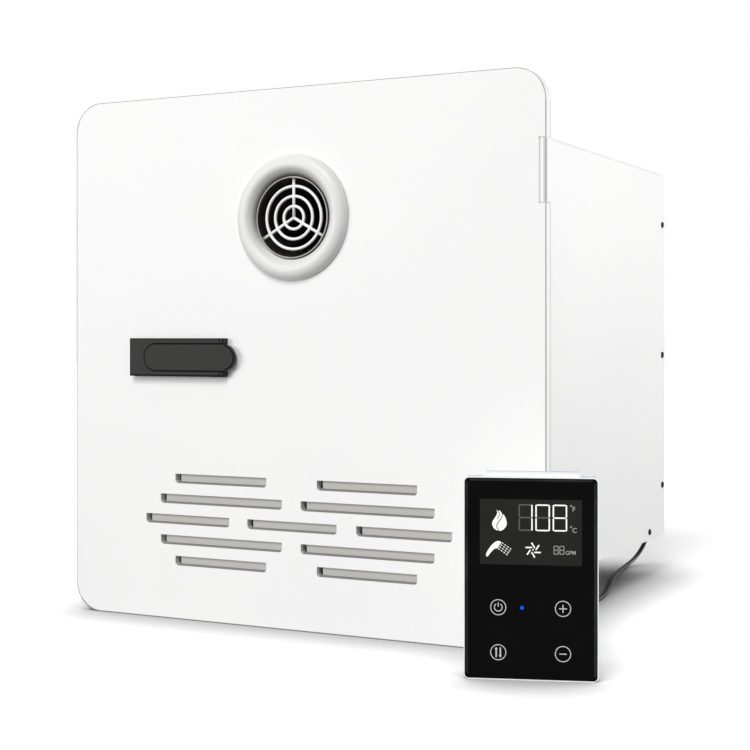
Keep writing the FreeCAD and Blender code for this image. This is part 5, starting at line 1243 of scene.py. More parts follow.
@dataclass
class Controller:
    """The touch controller's printed and lit signs, its screen, the painted reflection on its
    glass's edges and the painted shade on its housing's rear edges.

    Signs are laid out in mm: u from the glass's left edge, v above the floor. A rectangle
    is given by its left and right side and its foot and head.
    """

    LIT_BARS: ClassVar[dict[int, str]] = {0: "abcdef", 1: "bc", 8: "abcdefg"}
    SLOTS: ClassVar[dict[str, str]] = {"glass_edge": "controller_glass",
                                       "cool_edge": "controller_rim"}
    CAPITAL: ClassVar[float] = 0.7

    turn: float = math.radians(18.8)
    glass_sheet: float = 1.6
    lift: float = 0.04
    screen: tuple[float, float, float, float] = (9.3, 70.8, 69.9, 109.6)
    screen_corner: float = 0.6
    side_strips: tuple[Pair, ...] = ((0.5, 2.1), (78.1, 79.7))
    side_heights: Pair = (3.2, 119.8)
    top_strip: tuple[float, float, float, float] = (3.0, 77.2, 120.6, 121.8)
    # the left and right end, the height and the depth of each line on the housing
    rear_lines: tuple[tuple[float, float, float, float], ...] = (
        (11.6, 68.6, 124.6, 22.0), (1.6, 10.6, 123.0, 7.0), (69.6, 78.8, 123.0, 7.0))
    digits: tuple[tuple[float, float, int], ...] = ((32.8, 41.3, 1), (42.9, 51.7, 0),
                                                    (53.3, 62.0, 8))
    digit_heights: Pair = (90.5, 106.7)
    bar: float = 0.85
    flow_digits: tuple[Pair, ...] = ((53.9, 56.8), (57.4, 60.3))
    flow_heights: Pair = (76.6, 81.8)
    flow_bar: float = 0.42
    flow_unit_left: float = 61.0
    degree_left: float = 63.7
    degree_feet: tuple[tuple[str, float], ...] = (("F", 102.6), ("C", 89.9))
    left_keys: float = 20.5
    right_keys: float = 59.5
    upper_keys: float = 43.9
    lower_keys: float = 16.6
    ring: float = 4.6
    ring_line: float = 0.5
    lamp_left: float = 34.8
    lamp_radius: float = 1.15
    shapes: dict[str, list[bpy.types.Object]] = field(default_factory=dict)

    def __post_init__(self) -> None:
        """Finds the glass's lower left front corner."""
        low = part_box("controller_glass")[0]
        self.along = Vector((math.cos(self.turn), math.sin(self.turn), 0))
        self.inwards = Vector((-math.sin(self.turn), math.cos(self.turn), 0))
        shift = mm(self.glass_sheet) * math.sin(self.turn)
        self.corner = Vector((low.x + shift, low.y, mm(FLOOR_MM)))

    def spot(self, u: float, v: float, depth: float) -> Vector:
        """A place on the glass from mm across, mm up and mm behind its face."""
        return (self.corner + self.along * mm(u) + Vector((0, 0, mm(v)))
                + self.inwards * mm(depth))

    def keep(self, shape: bmesh.types.BMesh, key: str) -> None:
        """Adds a shape to the ones with its finish."""
        self.shapes.setdefault(key, []).append(
            from_bmesh(f"sign_{key}", shape, self.finishes[key]))

    def flat(self, outline: Line, key: str, holes: Sequence[Line] = (), level: int = 1) -> None:
        """Lays one flat sign on the glass.

        Args:
            outline: its outer line.
            key: its finish.
            holes: its inner lines.
            level: how many layers it stands above the glass.
        """
        self.keep(extruded(outline, holes, (-self.lift * level, 0.02), self.spot), key)

    def build(self, finishes: Finishes) -> None:
        """Makes the screen, the signs and the edge strips.

        Args:
            finishes: the materials.
        """
        self.finishes = finishes
        self.edges()
        self.housing_lines()
        self.flat(round_corners(rectangle(*self.screen), self.screen_corner, 4),
                  "display_screen")
        for left, right, value in self.digits:
            self.digit((left, right), self.digit_heights, self.bar, self.LIT_BARS[value], "lit")
        for across in self.flow_digits:
            self.digit(across, self.flow_heights, self.flow_bar, self.LIT_BARS[8], "small_sign")
        self.text("GPM", self.flow_unit_left, self.flow_heights[0], 2.35, 0.92)
        for letter, foot in self.degree_feet:
            self.degree(letter, self.degree_left, foot)
        self.flame()
        self.shower()
        self.fan()
        self.keys()
        self.flat(circle((self.lamp_left, self.upper_keys), self.lamp_radius, 28), "led")
        for key, group in self.shapes.items():
            finished(joined(f"controller_{key}", group), Body.ROOT,
                     self.SLOTS.get(key, "display_screen"))

    def edges(self) -> None:
        """Painted reflection: grey strips down the glass's sides and along its top, where its
        bevel catches the light.
        """
        for left, right in self.side_strips:
            self.flat(rectangle(left, right, *self.side_heights), "glass_edge")
        self.flat(rectangle(*self.top_strip), "glass_edge")

    def housing_lines(self) -> None:
        """Painted shade, tinted cool, along the rear edges of the housing's and the rim's tops.
        """
        for left, right, top, behind in self.rear_lines:
            self.keep(extruded(rectangle(left, right, top - 0.2, top + 0.22), [],
                               (behind - 0.7, behind + 0.02), self.spot), "cool_edge")

    def digit(self, across: Pair, up: Pair, bar: float, lit: str, key: str) -> None:
        """One seven-bar digit.

        Args:
            across: its left and right side.
            up: its foot and head.
            bar: how wide a bar is.
            lit: the letters of the lit bars.
            key: the lit bars' finish.
        """
        (left, right), (low, high) = across, up
        middle = (low + high) / 2
        gap, cut, half = bar * 0.22, bar * 0.5, bar / 2

        def upright(side: float, foot: float, head: float, outward: float) -> list[Pair]:
            """An upright bar whose outer ends are cut back."""
            inner, outer = side - outward * half, side + outward * half
            return [(outer, foot + cut), (outer, head - cut), (side, head),
                    (inner, head - cut * 0.6), (inner, foot + cut * 0.6), (side, foot)]

        def level(height: float) -> list[Pair]:
            """A level bar with pointed ends."""
            start, end = left + bar + gap, right - bar - gap
            return [(start, height - half), (end, height - half), (end + half * 0.7, height),
                    (end, height + half), (start, height + half), (start - half * 0.7, height)]

        places = {
            Segment.TOP: level(high - half),
            Segment.BOTTOM: level(low + half),
            Segment.MIDDLE: level(middle),
            Segment.UPPER_RIGHT: upright(right - half, middle + gap, high - gap, 1),
            Segment.LOWER_RIGHT: upright(right - half, low + gap, middle - gap, 1),
            Segment.UPPER_LEFT: upright(left + half, middle + gap, high - gap, -1),
            Segment.LOWER_LEFT: upright(left + half, low + gap, middle - gap, -1),
        }
        for segment, outline in places.items():
            self.flat(outline, key if segment.value in lit else "faint", level=2)

    def text(self, words: str, u: float, v: float, tall: float, wide: float = 1.0) -> None:
        """A unit sign in plain letters.

        Args:
            words: the unit.
            u: its left side.
            v: its foot.
            tall: the letters' height.
            wide: how wide the letters are drawn.
        """
        line = bpy.data.curves.new("unit", "FONT")
        line.body = words
        line.size = tall / self.CAPITAL
        line.extrude = self.lift
        line.offset = 0.03
        shape = from_curve("unit", line)
        for vertex in shape.verts:
            across, up, out = vertex.co
            vertex.co = self.spot(u + across * wide, v + up, -out - self.lift)
        self.keep(shape, "small_sign")

    def degree(self, letter: str, u: float, v: float) -> None:
        """A degree ring and its letter.

        Args:
            letter: the unit.
            u: the ring's left side.
            v: the letter's foot.
        """
        ring = (u + 0.65, v + 3.4)
        self.flat(circle(ring, 0.62, 16), "small_sign", [circle(ring, 0.3, 16)], 2)
        self.text(letter, u + 1.3, v, 2.9)

    def flame(self) -> None:
        """The burner sign: a white flame with two dark folds."""
        tongues = [(19.44, 102.91), (20.33, 102.21), (20.69, 101.56), (20.83, 102.16),
                   (21.30, 102.62), (22.22, 101.64), (22.78, 100.54), (23.11, 99.58),
                   (23.28, 100.06), (23.50, 100.34), (24.31, 99.33), (25.00, 97.82),
                   (25.56, 95.90), (25.56, 93.97), (24.72, 92.30), (23.05, 90.75),
                   (21.66, 90.26), (20.69, 90.71), (19.86, 90.50), (18.33, 91.36),
                   (17.22, 92.85), (16.80, 94.64), (17.22, 96.30), (18.33, 97.98),
                   (19.30, 99.52), (19.86, 100.77), (19.94, 101.73)]
        left_fold = [(20.75, 101.67), (21.22, 100.52), (21.00, 99.41), (20.44, 98.51),
                     (19.75, 97.62)]
        right_fold = [(23.05, 99.86), (22.50, 98.47), (21.53, 96.80), (20.41, 95.26),
                      (19.72, 93.86), (19.66, 92.76), (20.05, 91.80), (20.69, 90.90)]
        self.flat(spline_points(tongues, True, 3), "lit", level=2)
        for fold, width in ((left_fold, 0.45), (right_fold, 0.5)):
            self.flat(stroke(spline_points(fold, False, 5), width), "display_screen", level=3)

    def shower(self) -> None:
        """The hand shower sign with its spray of four rows of four drops."""
        handle = [(13.05, 75.80), (13.38, 74.93), (13.74, 74.44), (14.44, 75.14), (15.55, 76.54),
                  (16.94, 78.22), (18.33, 79.35), (19.72, 79.65), (20.36, 80.19), (20.83, 81.19),
                  (21.80, 82.45), (22.33, 83.29), (21.39, 83.96), (20.27, 84.10), (18.89, 83.64),
                  (17.50, 82.51), (16.11, 81.10), (14.71, 79.15), (13.60, 77.19)]
        self.flat(spline_points(handle, True, 3), "lit", level=2)
        first, along, down = Vector((22.70, 83.15)), Vector((1.62, -1.08)), Vector((-0.75, -1.17))
        for number in range(16):
            drop = first + along * (number % 4) + down * (number // 4)
            self.flat(stroke([tuple(drop), (drop.x + 0.85, drop.y - 0.68)], 0.5), "lit", level=2)

    def fan(self) -> None:
        """The fan sign: six bent blades round a hub."""
        blades = [((36.95, 80.52), (40.85, 80.50)), ((40.57, 83.48), (42.52, 80.34)),
                  ((45.16, 82.05), (43.13, 79.11)), ((46.13, 77.56), (42.24, 77.66)),
                  ((42.52, 74.55), (40.71, 77.69)), ((37.93, 76.12), (39.87, 79.05))]
        for blade in blades:
            self.flat(stroke(blade, 0.85), "lit", level=2)
        self.flat([(41.15, 78.75), (41.85, 78.75), (41.95, 79.7), (41.25, 79.7)], "lit", level=2)

    def keys(self) -> None:
        """The four touch keys' rings and their signs: power, mode, plus and minus."""
        half = self.ring_line / 2
        for u in (self.left_keys, self.right_keys):
            for v in (self.upper_keys, self.lower_keys):
                self.flat(circle((u, v), self.ring + half, 64), "small_key",
                          [circle((u, v), self.ring - half, 64)], 2)
        u, v = self.left_keys, self.upper_keys
        signs = [stroke(circle((u, v), 2.35, 40, 125, 290), 0.55),
                 stroke([(u, v + 0.4), (u, v + 2.9)], 0.55)]
        u = self.right_keys
        reach, half, minus_reach = 2.4, 0.3, 2.2
        signs.append([(u + across, v + up) for across, up in (
            (-reach, -half), (-half, -half), (-half, -reach), (half, -reach), (half, -half),
            (reach, -half), (reach, half), (half, half), (half, reach), (-half, reach),
            (-half, half), (-reach, half))])
        v = self.lower_keys
        signs.append(rectangle(u - minus_reach, u + minus_reach, v - half, v + half))
        for side, way in ((-1, 1), (1, -1)):
            middle = self.left_keys + side * 1.25
            signs.append(rectangle(middle - 0.42, middle + 0.42, v - way * 2.9, v + way * 1.6))
            signs.append([(middle - 0.95, v + way * 1.7), (middle + 0.95, v + way * 1.7),
                          (middle, v + way * 3.3)])
        for outline in signs:
            self.flat(outline, "small_key", level=2)


# ---------------------------------------------------------------------------------
# Repeated pieces grown by node trees
# ---------------------------------------------------------------------------------
@dataclass
class Grower:
    """A geometry node tree with named inputs that ends in plain, painted mesh."""

    name: str
    finish: bpy.types.Material
    sizes: dict[str, float]

    def __post_init__(self) -> None:
        """Makes the empty tree and its inputs."""
        self.tree = bpy.data.node_groups.new(self.name, "GeometryNodeTree")
        face = self.tree.interface
        for way in ("INPUT", "OUTPUT"):
            face.new_socket("Geometry", in_out=way, socket_type="NodeSocketGeometry")
        for size in self.sizes:
            face.new_socket(size, in_out="INPUT", socket_type="NodeSocketFloat")
        self.given = self.tree.nodes.new("NodeGroupInput").outputs

    def node(self, kind: str, settings: dict | None = None,
             links: dict | None = None) -> bpy.types.Node:
        """Adds a node to the tree."""
        return add(self.tree, kind, settings, links)

    def reckon(self, operation: str, first: bpy.types.NodeSocket,
               second: bpy.types.NodeSocket) -> bpy.types.NodeSocket:
        """The sum or product of two numbers."""
        return self.node("ShaderNodeMath", {"operation": operation},
                         {0: first, 1: second}).outputs[0]

    def grow(self, shape: bpy.types.NodeSocket, start: bpy.types.Mesh | None = None
             ) -> bpy.types.Object:
        """Ends the tree and turns what it makes into a plain mesh.

        Args:
            shape: the geometry that the tree has made.
            start: the mesh that the tree starts from.

        Returns:
            The finished piece.
        """
        real = self.node("GeometryNodeRealizeInstances", links={0: shape})
        painted = self.node("GeometryNodeSetMaterial", {"Material": self.finish},
                            {"Geometry": real.outputs[0]})
        self.node("NodeGroupOutput", links={0: painted.outputs[0]})
        mesh = start or bpy.data.meshes.new(self.name)
        piece = linked(self.name, mesh)
        growth = piece.modifiers.new("growth", "NODES")
        growth.node_group = self.tree
        for item in self.tree.interface.items_tree:
            if item.in_out == "INPUT" and item.name in self.sizes:
                growth[item.identifier] = float(self.sizes[item.name])
        made = evaluated(piece)
        piece.modifiers.remove(growth)
        piece.data = made
        bpy.data.meshes.remove(mesh)
        if not made.materials:
            made.materials.append(self.finish)
        return piece


def marks(name: str, places: Sequence[tuple[Vector, Vector]]) -> bpy.types.Mesh:
    """A mesh of loose points that remember which way each faces.

    Args:
        name: the mesh's name.
        places: each point and the way it faces.

    Returns:
        The mesh.
    """
    mesh = bpy.data.meshes.new(name)
    mesh.from_pydata([tuple(place) for place, _ in places], [], [])
    faces = mesh.attributes.new("facing", "FLOAT_VECTOR", "POINT")
    for held, (_, facing) in zip(faces.data, places):
        held.vector = facing
    return mesh


@dataclass(frozen=True)
class ScrewHeads:
    """Pan-head screws with a cross recess, all from one tree."""

    STEPS: ClassVar[int] = 24
    # radius and height as shares of the whole, from the foot to the crown
    DOME: ClassVar[tuple[Pair, ...]] = ((1.0, 0.0), (1.0, 0.35), (0.93, 0.62), (0.78, 0.84),
                                        (0.58, 0.96), (0.36, 1.0))
    CROSS_ARM: ClassVar[float] = 0.3
    CROSS_NOTCH: ClassVar[float] = 0.096

    radius: float = mm(2.4)
    height: float = mm(1.35)
    recess: float = mm(0.7)

    def head(self) -> bpy.types.Object:
        """One head that faces +Z, its cross pressed into its crown."""
        shape = bmesh.new()
        turns = [2 * math.pi * step / self.STEPS for step in range(self.STEPS)]

        def ring(reaches: Sequence[float], height: float) -> list[bmesh.types.BMVert]:
            """A ring of corners at their shares of the radius."""
            return [shape.verts.new((self.radius * reach * math.cos(turn),
                                     self.radius * reach * math.sin(turn), height))
                    for turn, reach in zip(turns, reaches)]

        rings = [ring([reach] * self.STEPS, self.height * height) for reach, height in self.DOME]
        rings.append(ring([self.CROSS_ARM if abs(math.sin(2 * turn)) < 0.55 else self.CROSS_NOTCH
                           for turn in turns], self.height - self.recess))
        for low, high in zip(rings, rings[1:]):
            for here in range(self.STEPS):
                after = (here + 1) % self.STEPS
                shape.faces.new((low[here], low[after], high[after], high[here]))
        shape.faces.new(rings[-1])
        shape.faces.new(rings[0][::-1])
        bmesh.ops.recalc_face_normals(shape, faces=shape.faces)
        return bpy.data.objects.new("screw_head", as_mesh("screw_head", shape))

    def build(self, name: str, places: Sequence[tuple[Vector, Vector]],
              finish: bpy.types.Material) -> bpy.types.Object:
        """Sets a head at each place.

        Args:
            name: the piece's name.
            places: each head's foot and the way it faces.
            finish: the material.

        Returns:
            All the heads as one piece.
        """
        grower = Grower(name, finish, {"Head size": 1.0, "Turn spread": 1.5})
        points = grower.node("GeometryNodeMeshToPoints", {"mode": "VERTICES"},
                             {"Mesh": grower.given["Geometry"]})
        facing = grower.node("GeometryNodeInputNamedAttribute",
                             {"data_type": "FLOAT_VECTOR", "Name": "facing"})
        aim = grower.node("FunctionNodeAlignRotationToVector", {"axis": "Z"},
                          {"Vector": facing.outputs[0]})
        spin = grower.node("FunctionNodeRandomValue", {"data_type": "FLOAT", "Seed": 7},
                           {3: grower.given["Turn spread"]})
        turn = grower.node("ShaderNodeCombineXYZ", links={"Z": spin.outputs[1]})
        whole = grower.node("FunctionNodeRotateRotation", {"rotation_space": "LOCAL"},
                            {0: aim.outputs[0], 1: turn.outputs[0]})
        source = grower.node("GeometryNodeObjectInfo", {"Object": self.head()})
        heads = grower.node("GeometryNodeInstanceOnPoints", links={
            "Points": points.outputs[0], "Instance": source.outputs["Geometry"],
            "Rotation": whole.outputs[0], "Scale": grower.given["Head size"]})
        return grower.grow(heads.outputs[0], marks(name, places))


@dataclass(frozen=True)
class PipeThread:
    """The thread on a pipe end: ridges at the real pitch, rolled a little deep to show."""

    pitch: float = mm(1.81)
    depth: float = mm(0.5)

    def build(self, name: str, foot: Vector, radius: float, length: float,
              finish: bpy.types.Material) -> bpy.types.Object:
        """Winds one thread round +Y.

        Args:
            name: the piece's name.
            foot: the middle of the thread's lower end.
            radius: the thread's outer radius.
            length: how long it is.
            finish: the material.

        Returns:
            The thread.
        """
        grower = Grower(name, finish, {"Radius": radius - self.depth, "Length": length,
                                       "Turns": length / self.pitch, "Ridge": self.depth})
        given = grower.given
        line = grower.node("GeometryNodeCurveSpiral", {"Resolution": 40},
                           {"Rotations": given["Turns"], "Start Radius": given["Radius"],
                            "End Radius": given["Radius"], "Height": given["Length"]})
        ridge = grower.node("GeometryNodeCurvePrimitiveCircle",
                            {"mode": "RADIUS", "Resolution": 4}, {"Radius": given["Ridge"]})
        wound = grower.node("GeometryNodeCurveToMesh", {"Fill Caps": True},
                            {"Curve": line.outputs[0], "Profile Curve": ridge.outputs[0]})
        placed = grower.node("GeometryNodeTransform",
                             {"Rotation": (-math.pi / 2, 0, 0), "Translation": tuple(foot)},
                             {"Geometry": wound.outputs[0]})
        return grower.grow(placed.outputs[0])


# ---------------------------------------------------------------------------------
# Door
# ---------------------------------------------------------------------------------
@dataclass
class Door:
    """The front door's exhaust ring and guard, and its painted shade: its edge lines and its
    slots' sills.

    Sizes are in mm: u across from the door's middle, v up from it and depth behind its
    face. A line's proud depth is how far it stands before the face.
    """

    # the ring's section as (radius, height before the door), from its foot over its crown
    RING: ClassVar[tuple[Pair, ...]] = (
        (45.0, 0.0), (44.85, 0.9), (44.4, 2.2), (43.6, 3.6), (42.5, 4.75), (41.2, 5.6),
        (39.6, 6.15), (37.8, 6.4), (36.4, 6.3), (35.2, 5.95), (34.2, 5.3), (33.3, 4.35),
        (32.4, 3.2), (31.4, 1.9), (30.4, 0.6), (29.6, -0.4), (29.35, -1.0), (31.3, -1.0),
        (31.3, 0.0))

    front: float = -10.9
    half_width: float = 190.5
    half_height: float = 192.5
    corner: float = 22.0
    proud: float = 0.02
    edge_depth: float = 0.8
    rim_line: float = 0.30
    foot_line: float = 0.8
    corner_line: float = 0.2
    corner_depth: float = 1.2
    skirt_line: float = 0.5
    skirt_depths: Pair = (7.0, 8.6)
    tab_heights: Pair = (103.35, 145.65)
    tab_right: float = 190.8
    tab_clear: float = 0.6
    tab_gap: Pair = (184.9, 185.85)
    tab_gap_depths: Pair = (0.12, 0.8)
    tab_corner: Pair = (0.95, -0.02)
    tab_bend: Pair = (2.0, 1.15)
    lip_radii: Pair = (28.25, 28.95)
    lip_proud: float = 0.25
    guard_first: float = 8.1
    guard_step: float = 7.1
    guard_rings: int = 3
    wire: float = 1.05
    spoke_reach: float = 28.6
    slot_middle: Pair = (-1.0, -119.15)
    slot_height: float = 7.05
    slot_pitch: float = 15.15
    slot_reach: float = 124.7
    slot_step: float = 13.0
    slot_gap: float = 15.4
    slot_middle_length: float = 73.0
    sill_insets: Pair = (1.7, 1.0)
    sill_height: float = 1.5
    sill_depths: Pair = (0.9, 1.5)
    plate_insets: Pair = (4.1, -0.4)
    plate_depths: Pair = (1.6, 1.9)
    slot_overlap: float = 0.1

    def build(self, finishes: Finishes) -> None:
        """Makes the pieces of the door.

        Args:
            finishes: the materials.
        """
        self.finishes = finishes
        self.exhaust_ring()
        self.guard()
        self.edges()
        self.sills()
        self.hinge_lines()

    def spot(self, u: float, v: float, depth: float) -> Vector:
        """A place from mm across, mm up and mm behind the door's face."""
        return place_mm(u, self.front + depth, v)

    def bar(self, across: Pair, up: Pair, depth: Pair, key: str) -> bpy.types.Object:
        """One straight bar on the door.

        Args:
            across: its ends in mm across.
            up: its ends in mm up.
            depth: its ends in mm behind the door's face.
            key: its finish.

        Returns:
            The bar.
        """
        return from_bmesh("bar", extruded(rectangle(*across, *up), [], depth, self.spot),
                          self.finishes[key])

    def exhaust_ring(self) -> None:
        """The rounded ring round the exhaust, with its steep funnel, and the flue's lip."""
        profile = [(mm(radius), mm(high)) for radius, high in self.RING]
        ring = lathe(profile, place_mm(0, self.front, EXHAUST_MM), Vector((0, -1, 0)), 128)
        finished(from_bmesh("exhaust_ring", ring, self.finishes["ring_paint"], smooth=True),
                 Body.DOOR, "white_paint", "exhaust_bezel")
        mouth = Vector((0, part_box("flue_tube")[0].y, mm(EXHAUST_MM)))
        profile = [(mm(radius), mm(high))
                   for radius, high in rectangle(*self.lip_radii, 0, self.lip_proud)]
        lip = lathe(profile, mouth, Vector((0, -1, 0)), 96)
        # painted shade: a grey line round the flue's mouth
        finished(from_bmesh("flue_lip", lip, self.finishes["edge_dark"]), Body.ROOT, "stainless")

    def outline(self, inset: float) -> list[Pair]:
        """The door's outline, drawn in by an inset."""
        wide, tall = self.half_width - inset, self.half_height - inset
        return round_corners(rectangle(-wide, wide, -tall, tall), self.corner - inset, 12)

    def edges(self) -> None:
        """Painted shade: grey lines on the door's rolled edges, where they turn from the light.

        They are pale round the front, darker at the right and below, and a line shows where
        the skirt ends. The tabs' gaps are closed as far as the door's face.
        """
        wide, tall, bend = self.half_width, self.half_height, self.corner
        rim = framed(self.outline(-0.01), self.outline(self.rim_line),
                     (-self.proud, self.edge_depth), self.spot)
        finished(from_bmesh("door_rim_line", rim, self.finishes["edge_pale"]), Body.DOOR,
                 "white_paint")
        lines = [[*circle((-wide + bend, -tall + bend), bend + grow, 8, 215, 55),
                  *circle((wide - bend, -tall + bend), bend + grow, 8, 270, 40)]
                 for grow in (0.01, -self.foot_line)]
        foot = framed(*lines, (-self.proud - 0.01, self.edge_depth), self.spot, closed=False)
        finished(from_bmesh("door_foot_line", foot, self.finishes["sill_paint"]), Body.DOOR,
                 "white_paint")
        low, high = self.tab_heights
        spans = ((-tall + bend, -high - self.tab_clear),
                 (-low + self.tab_clear, low - self.tab_clear),
                 (high + self.tab_clear, tall - bend))
        outside = wide + 0.03
        corners = [self.bar((wide - self.corner_line, outside), up,
                            (-self.proud, self.corner_depth), "edge_dark") for up in spans]
        ends = [self.bar((wide - self.skirt_line, outside), up, self.skirt_depths, "bend_pale")
                for up in spans]
        gaps = [self.bar(self.tab_gap, up, self.tab_gap_depths, "white_paint")
                for up in ((low, high), (-high, -low))]
        for name, pieces in (("door_corner_lines", corners), ("door_skirt_lines", ends),
                             ("door_tab_gaps", gaps)):
            finished(joined(name, pieces), Body.DOOR, "white_paint")

    def slots(self) -> list[Point]:
        """Each slot's two ends and its lower side."""
        found = []
        for row in range(-2, 3):
            low = self.slot_middle[1] - self.slot_pitch * row - self.slot_height / 2
            reach = self.slot_reach - self.slot_step * abs(row)
            if row == 0:
                half = self.slot_middle_length / 2
                spans = [(-reach, -half - self.slot_gap), (-half, half),
                         (half + self.slot_gap, reach)]
            else:
                inner = self.slot_gap / 2 + (0 if abs(row) == 1 else self.slot_step)
                spans = [(-reach, -inner), (inner, reach)]
            found.extend((self.slot_middle[0] + left, self.slot_middle[0] + right, low)
                         for left, right in spans)
        return found

    def sills(self) -> None:
        """Painted shade in each air slot: a dark sill along its bottom and a grey plate behind
        it.
        """
        sills, plates = [], []
        for left, right, low in self.slots():
            foot = low - self.slot_overlap
            sills.append(self.bar((left + self.sill_insets[0], right - self.sill_insets[1]),
                                  (foot, low + self.sill_height), self.sill_depths,
                                  "sill_paint"))
            plates.append(self.bar((left + self.plate_insets[0], right - self.plate_insets[1]),
                                   (foot, low + self.slot_height + self.slot_overlap),
                                   self.plate_depths, "plate_paint"))
        for name, pieces in (("slot_sills", sills), ("slot_plates", plates)):
            finished(joined(name, pieces), Body.DOOR, "grey_paint")

    def hinge_lines(self) -> None:
        """Painted shade lines on the hinge tabs, which stay with the casing."""
        low, high = self.tab_heights[0] + 0.15, self.tab_heights[1] - 0.15
        before = -self.proud - 0.01
        for name, ends, behind, key in (
                ("hinge_corner_lines", self.tab_corner, 1.3, "edge_dark"),
                ("hinge_bend_lines", self.tab_bend, 0.2, "bend_pale")):
            across = (self.tab_right - ends[0], self.tab_right - ends[1])
            finished(joined(name, [self.bar(across, up, (before, behind), key)
                                   for up in ((low, high), (-high, -low))]),
                     Body.ROOT, "white_paint")

    def guard(self) -> None:
        """The exhaust guard: three rings and three spokes of round wire."""
        low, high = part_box("exhaust_guard")
        centre = Vector((0, (low.y + high.y) / 2, mm(EXHAUST_MM)))
        grower = Grower("guard_rings", self.finishes["guard_wire"],
                        {"First ring": mm(self.guard_first), "Ring step": mm(self.guard_step),
                         "Wire": mm(self.wire)})
        line = grower.node("GeometryNodeMeshLine",
                           {"Count": self.guard_rings, "Offset": (0, 0, 0)})
        index = grower.node("GeometryNodeInputIndex")
        step = grower.reckon("MULTIPLY", index.outputs[0], grower.given["Ring step"])
        radius = grower.reckon("ADD", step, grower.given["First ring"])
        round_line = grower.node("GeometryNodeCurvePrimitiveCircle",
                                 {"mode": "RADIUS", "Resolution": 96, "Radius": 1.0})
        rings = grower.node("GeometryNodeInstanceOnPoints", links={
            "Points": line.outputs[0], "Instance": round_line.outputs[0], "Scale": radius})
        real = grower.node("GeometryNodeRealizeInstances", links={0: rings.outputs[0]})
        profile = grower.node("GeometryNodeCurvePrimitiveCircle",
                              {"mode": "RADIUS", "Resolution": 12},
                              {"Radius": grower.given["Wire"]})
        solid = grower.node("GeometryNodeCurveToMesh", links={
            "Curve": real.outputs[0], "Profile Curve": profile.outputs[0]})
        placed = grower.node("GeometryNodeTransform",
                             {"Rotation": (math.pi / 2, 0, 0), "Translation": tuple(centre)},
                             {"Geometry": solid.outputs[0]})
        pieces = [grower.grow(placed.outputs[0])]
        for angle in (90, 210, 330):
            out = Vector((math.cos(math.radians(angle)), 0, math.sin(math.radians(angle))))
            pieces.append(wire(f"spoke_{angle}", [centre, centre + out * mm(self.spoke_reach)],
                               mm(self.wire), self.finishes["guard_wire"]))
        whole = joined("guard_wires", pieces)
        whole.data.shade_smooth()
        finished(whole, Body.ROOT, "stainless", "exhaust_guard")


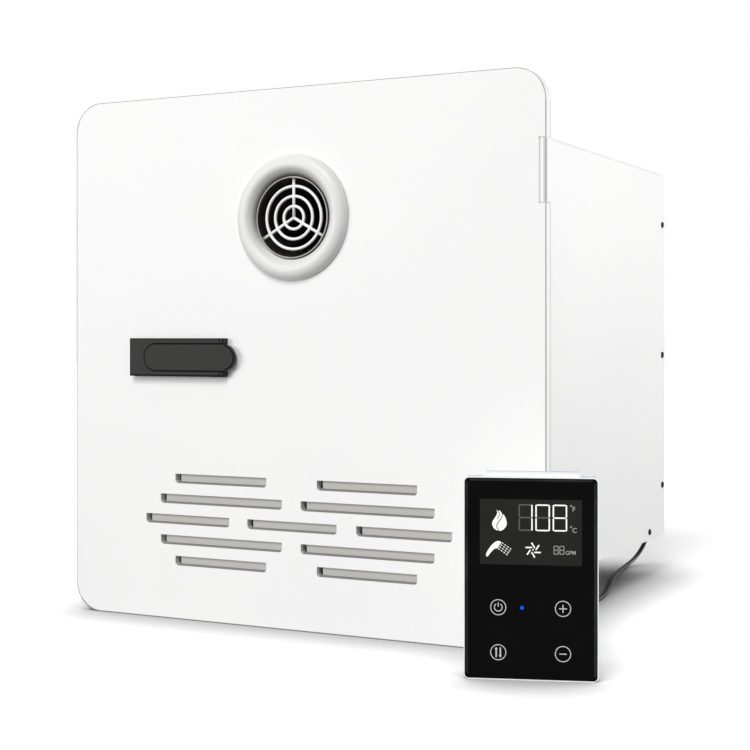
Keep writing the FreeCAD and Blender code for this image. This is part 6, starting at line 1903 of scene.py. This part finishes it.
# ---------------------------------------------------------------------------------
# Latch
# ---------------------------------------------------------------------------------
@dataclass
class Latch:
    """The paddle latch's painted shadow: dark lines in its groove and along its edges, in mm."""

    left: float = -137.1
    right: float = -54.1
    low: float = -13.5
    high: float = 14.5
    middle: float = 0.5
    paddle_left: float = -123.6
    paddle_radius: float = 9.4
    groove: float = 1.2
    groove_depths: Pair = (-0.05, 0.3)
    edge: float = 0.75
    # how far two short strips stand from the right end, and how wide they are
    ribs: tuple[Pair, ...] = ((4.4, 1.2), (1.6, 1.3))
    rib_clear: float = 0.5
    tip_line: float = 1.1
    tip_depths: Pair = (-0.04, 0.3)

    def build(self, finishes: Finishes) -> None:
        """Lays painted shadow lines in the groove and along the edges of the base, and round the
        paddle's free end.

        Args:
            finishes: the materials.
        """
        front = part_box("latch_base")[0].y * 1000

        def spot(u: float, v: float, depth: float) -> Vector:
            """A place on the base from mm across, up and behind its face."""
            return place_mm(u, front + depth, v)

        reach = self.paddle_radius + self.groove / 2
        turn = circle((self.paddle_left + self.paddle_radius, self.middle), reach, 28, 90, 180)
        foot, head = self.low + self.edge * 1.7, self.high - self.edge * 1.1
        strips = [stroke([(self.right, self.middle + reach), *turn,
                          (self.right, self.middle - reach)], self.groove),
                  rectangle(self.left, self.right, self.high - self.edge, self.high),
                  rectangle(self.left, self.right, self.low, self.low + self.edge * 1.6),
                  rectangle(self.left, self.left + self.edge, foot, head)]
        for up in ((self.middle + reach + self.rib_clear, head),
                   (foot, self.middle - reach - self.rib_clear)):
            strips += [rectangle(self.right - back, self.right - back + wide, *up)
                       for back, wide in self.ribs]
        pieces = [from_bmesh("strip", extruded(strip, [], self.groove_depths, spot),
                             finishes["shadow_gap"]) for strip in strips]
        finished(joined("latch_grooves", pieces), Body.DOOR, "black_plastic")
        near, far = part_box("latch_paddle")
        face = near.y * 1000 - front
        arc = circle((far.x * 1000 - self.paddle_radius, self.middle),
                     self.paddle_radius - self.tip_line / 2 - 0.1, 28, -82, 164)
        tip = extruded(stroke(arc, self.tip_line), [],
                       (face + self.tip_depths[0], face + self.tip_depths[1]), spot)
        finished(from_bmesh("paddle_tip_line", tip, finishes["shadow_gap"]), Body.PADDLE,
                 "black_plastic")


# ---------------------------------------------------------------------------------
# Casing
# ---------------------------------------------------------------------------------
@dataclass
class Casing:
    """The casing's screw heads and the threads on its pipe ends, in mm."""

    half: float = 158.75
    sunk: float = 0.05
    screws: tuple[Pair, ...] = ((360.8, 113.5), (360.8, -0.8), (360.8, -114.6),
                                (323.0, -151.4))
    # each thread's name, its place across and up, and its radius
    threads: tuple[tuple[str, float, float, float], ...] = (
        ("cold_thread", 60.0, -136.0, 10.45), ("hot_thread", 134.0, 36.0, 10.45),
        ("gas_thread", 132.0, -97.0, 7.94))
    thread_foot: float = 373.5
    thread_length: float = 20.5
    thread_clear: float = 0.02

    def build(self, finishes: Finishes) -> None:
        """Makes the heads and threads.

        Args:
            finishes: the materials.
        """
        places = [(place_mm(side * (self.half - self.sunk), y, z), Vector((side, 0, 0)))
                  for side in (-1, 1) for y, z in self.screws]
        heads = ScrewHeads().build("casing_screw_heads", places, finishes["dark_screws"])
        finished(heads, Body.ROOT, "dark_screws")
        for name, x, z, radius in self.threads:
            thread = PipeThread().build(name, place_mm(x, self.thread_foot, z),
                                        mm(radius - self.thread_clear), mm(self.thread_length),
                                        finishes["brass_fittings"])
            finished(thread, Body.ROOT, "brass_fittings")




def main() -> None:
    """Builds the studio and every sub-assembly in order."""
    logging.basicConfig(level=logging.INFO, format="%(message)s")
    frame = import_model()
    Studio().build()
    finishes = Finishes()
    finishes.dress(frame["record"], frame["nodes"])
    ControlCable().build(finishes, frame["nodes"])
    Controller().build(finishes)
    Door().build(finishes)
    Latch().build(finishes)
    Casing().build(finishes)


if __name__ == "__main__":
    main()
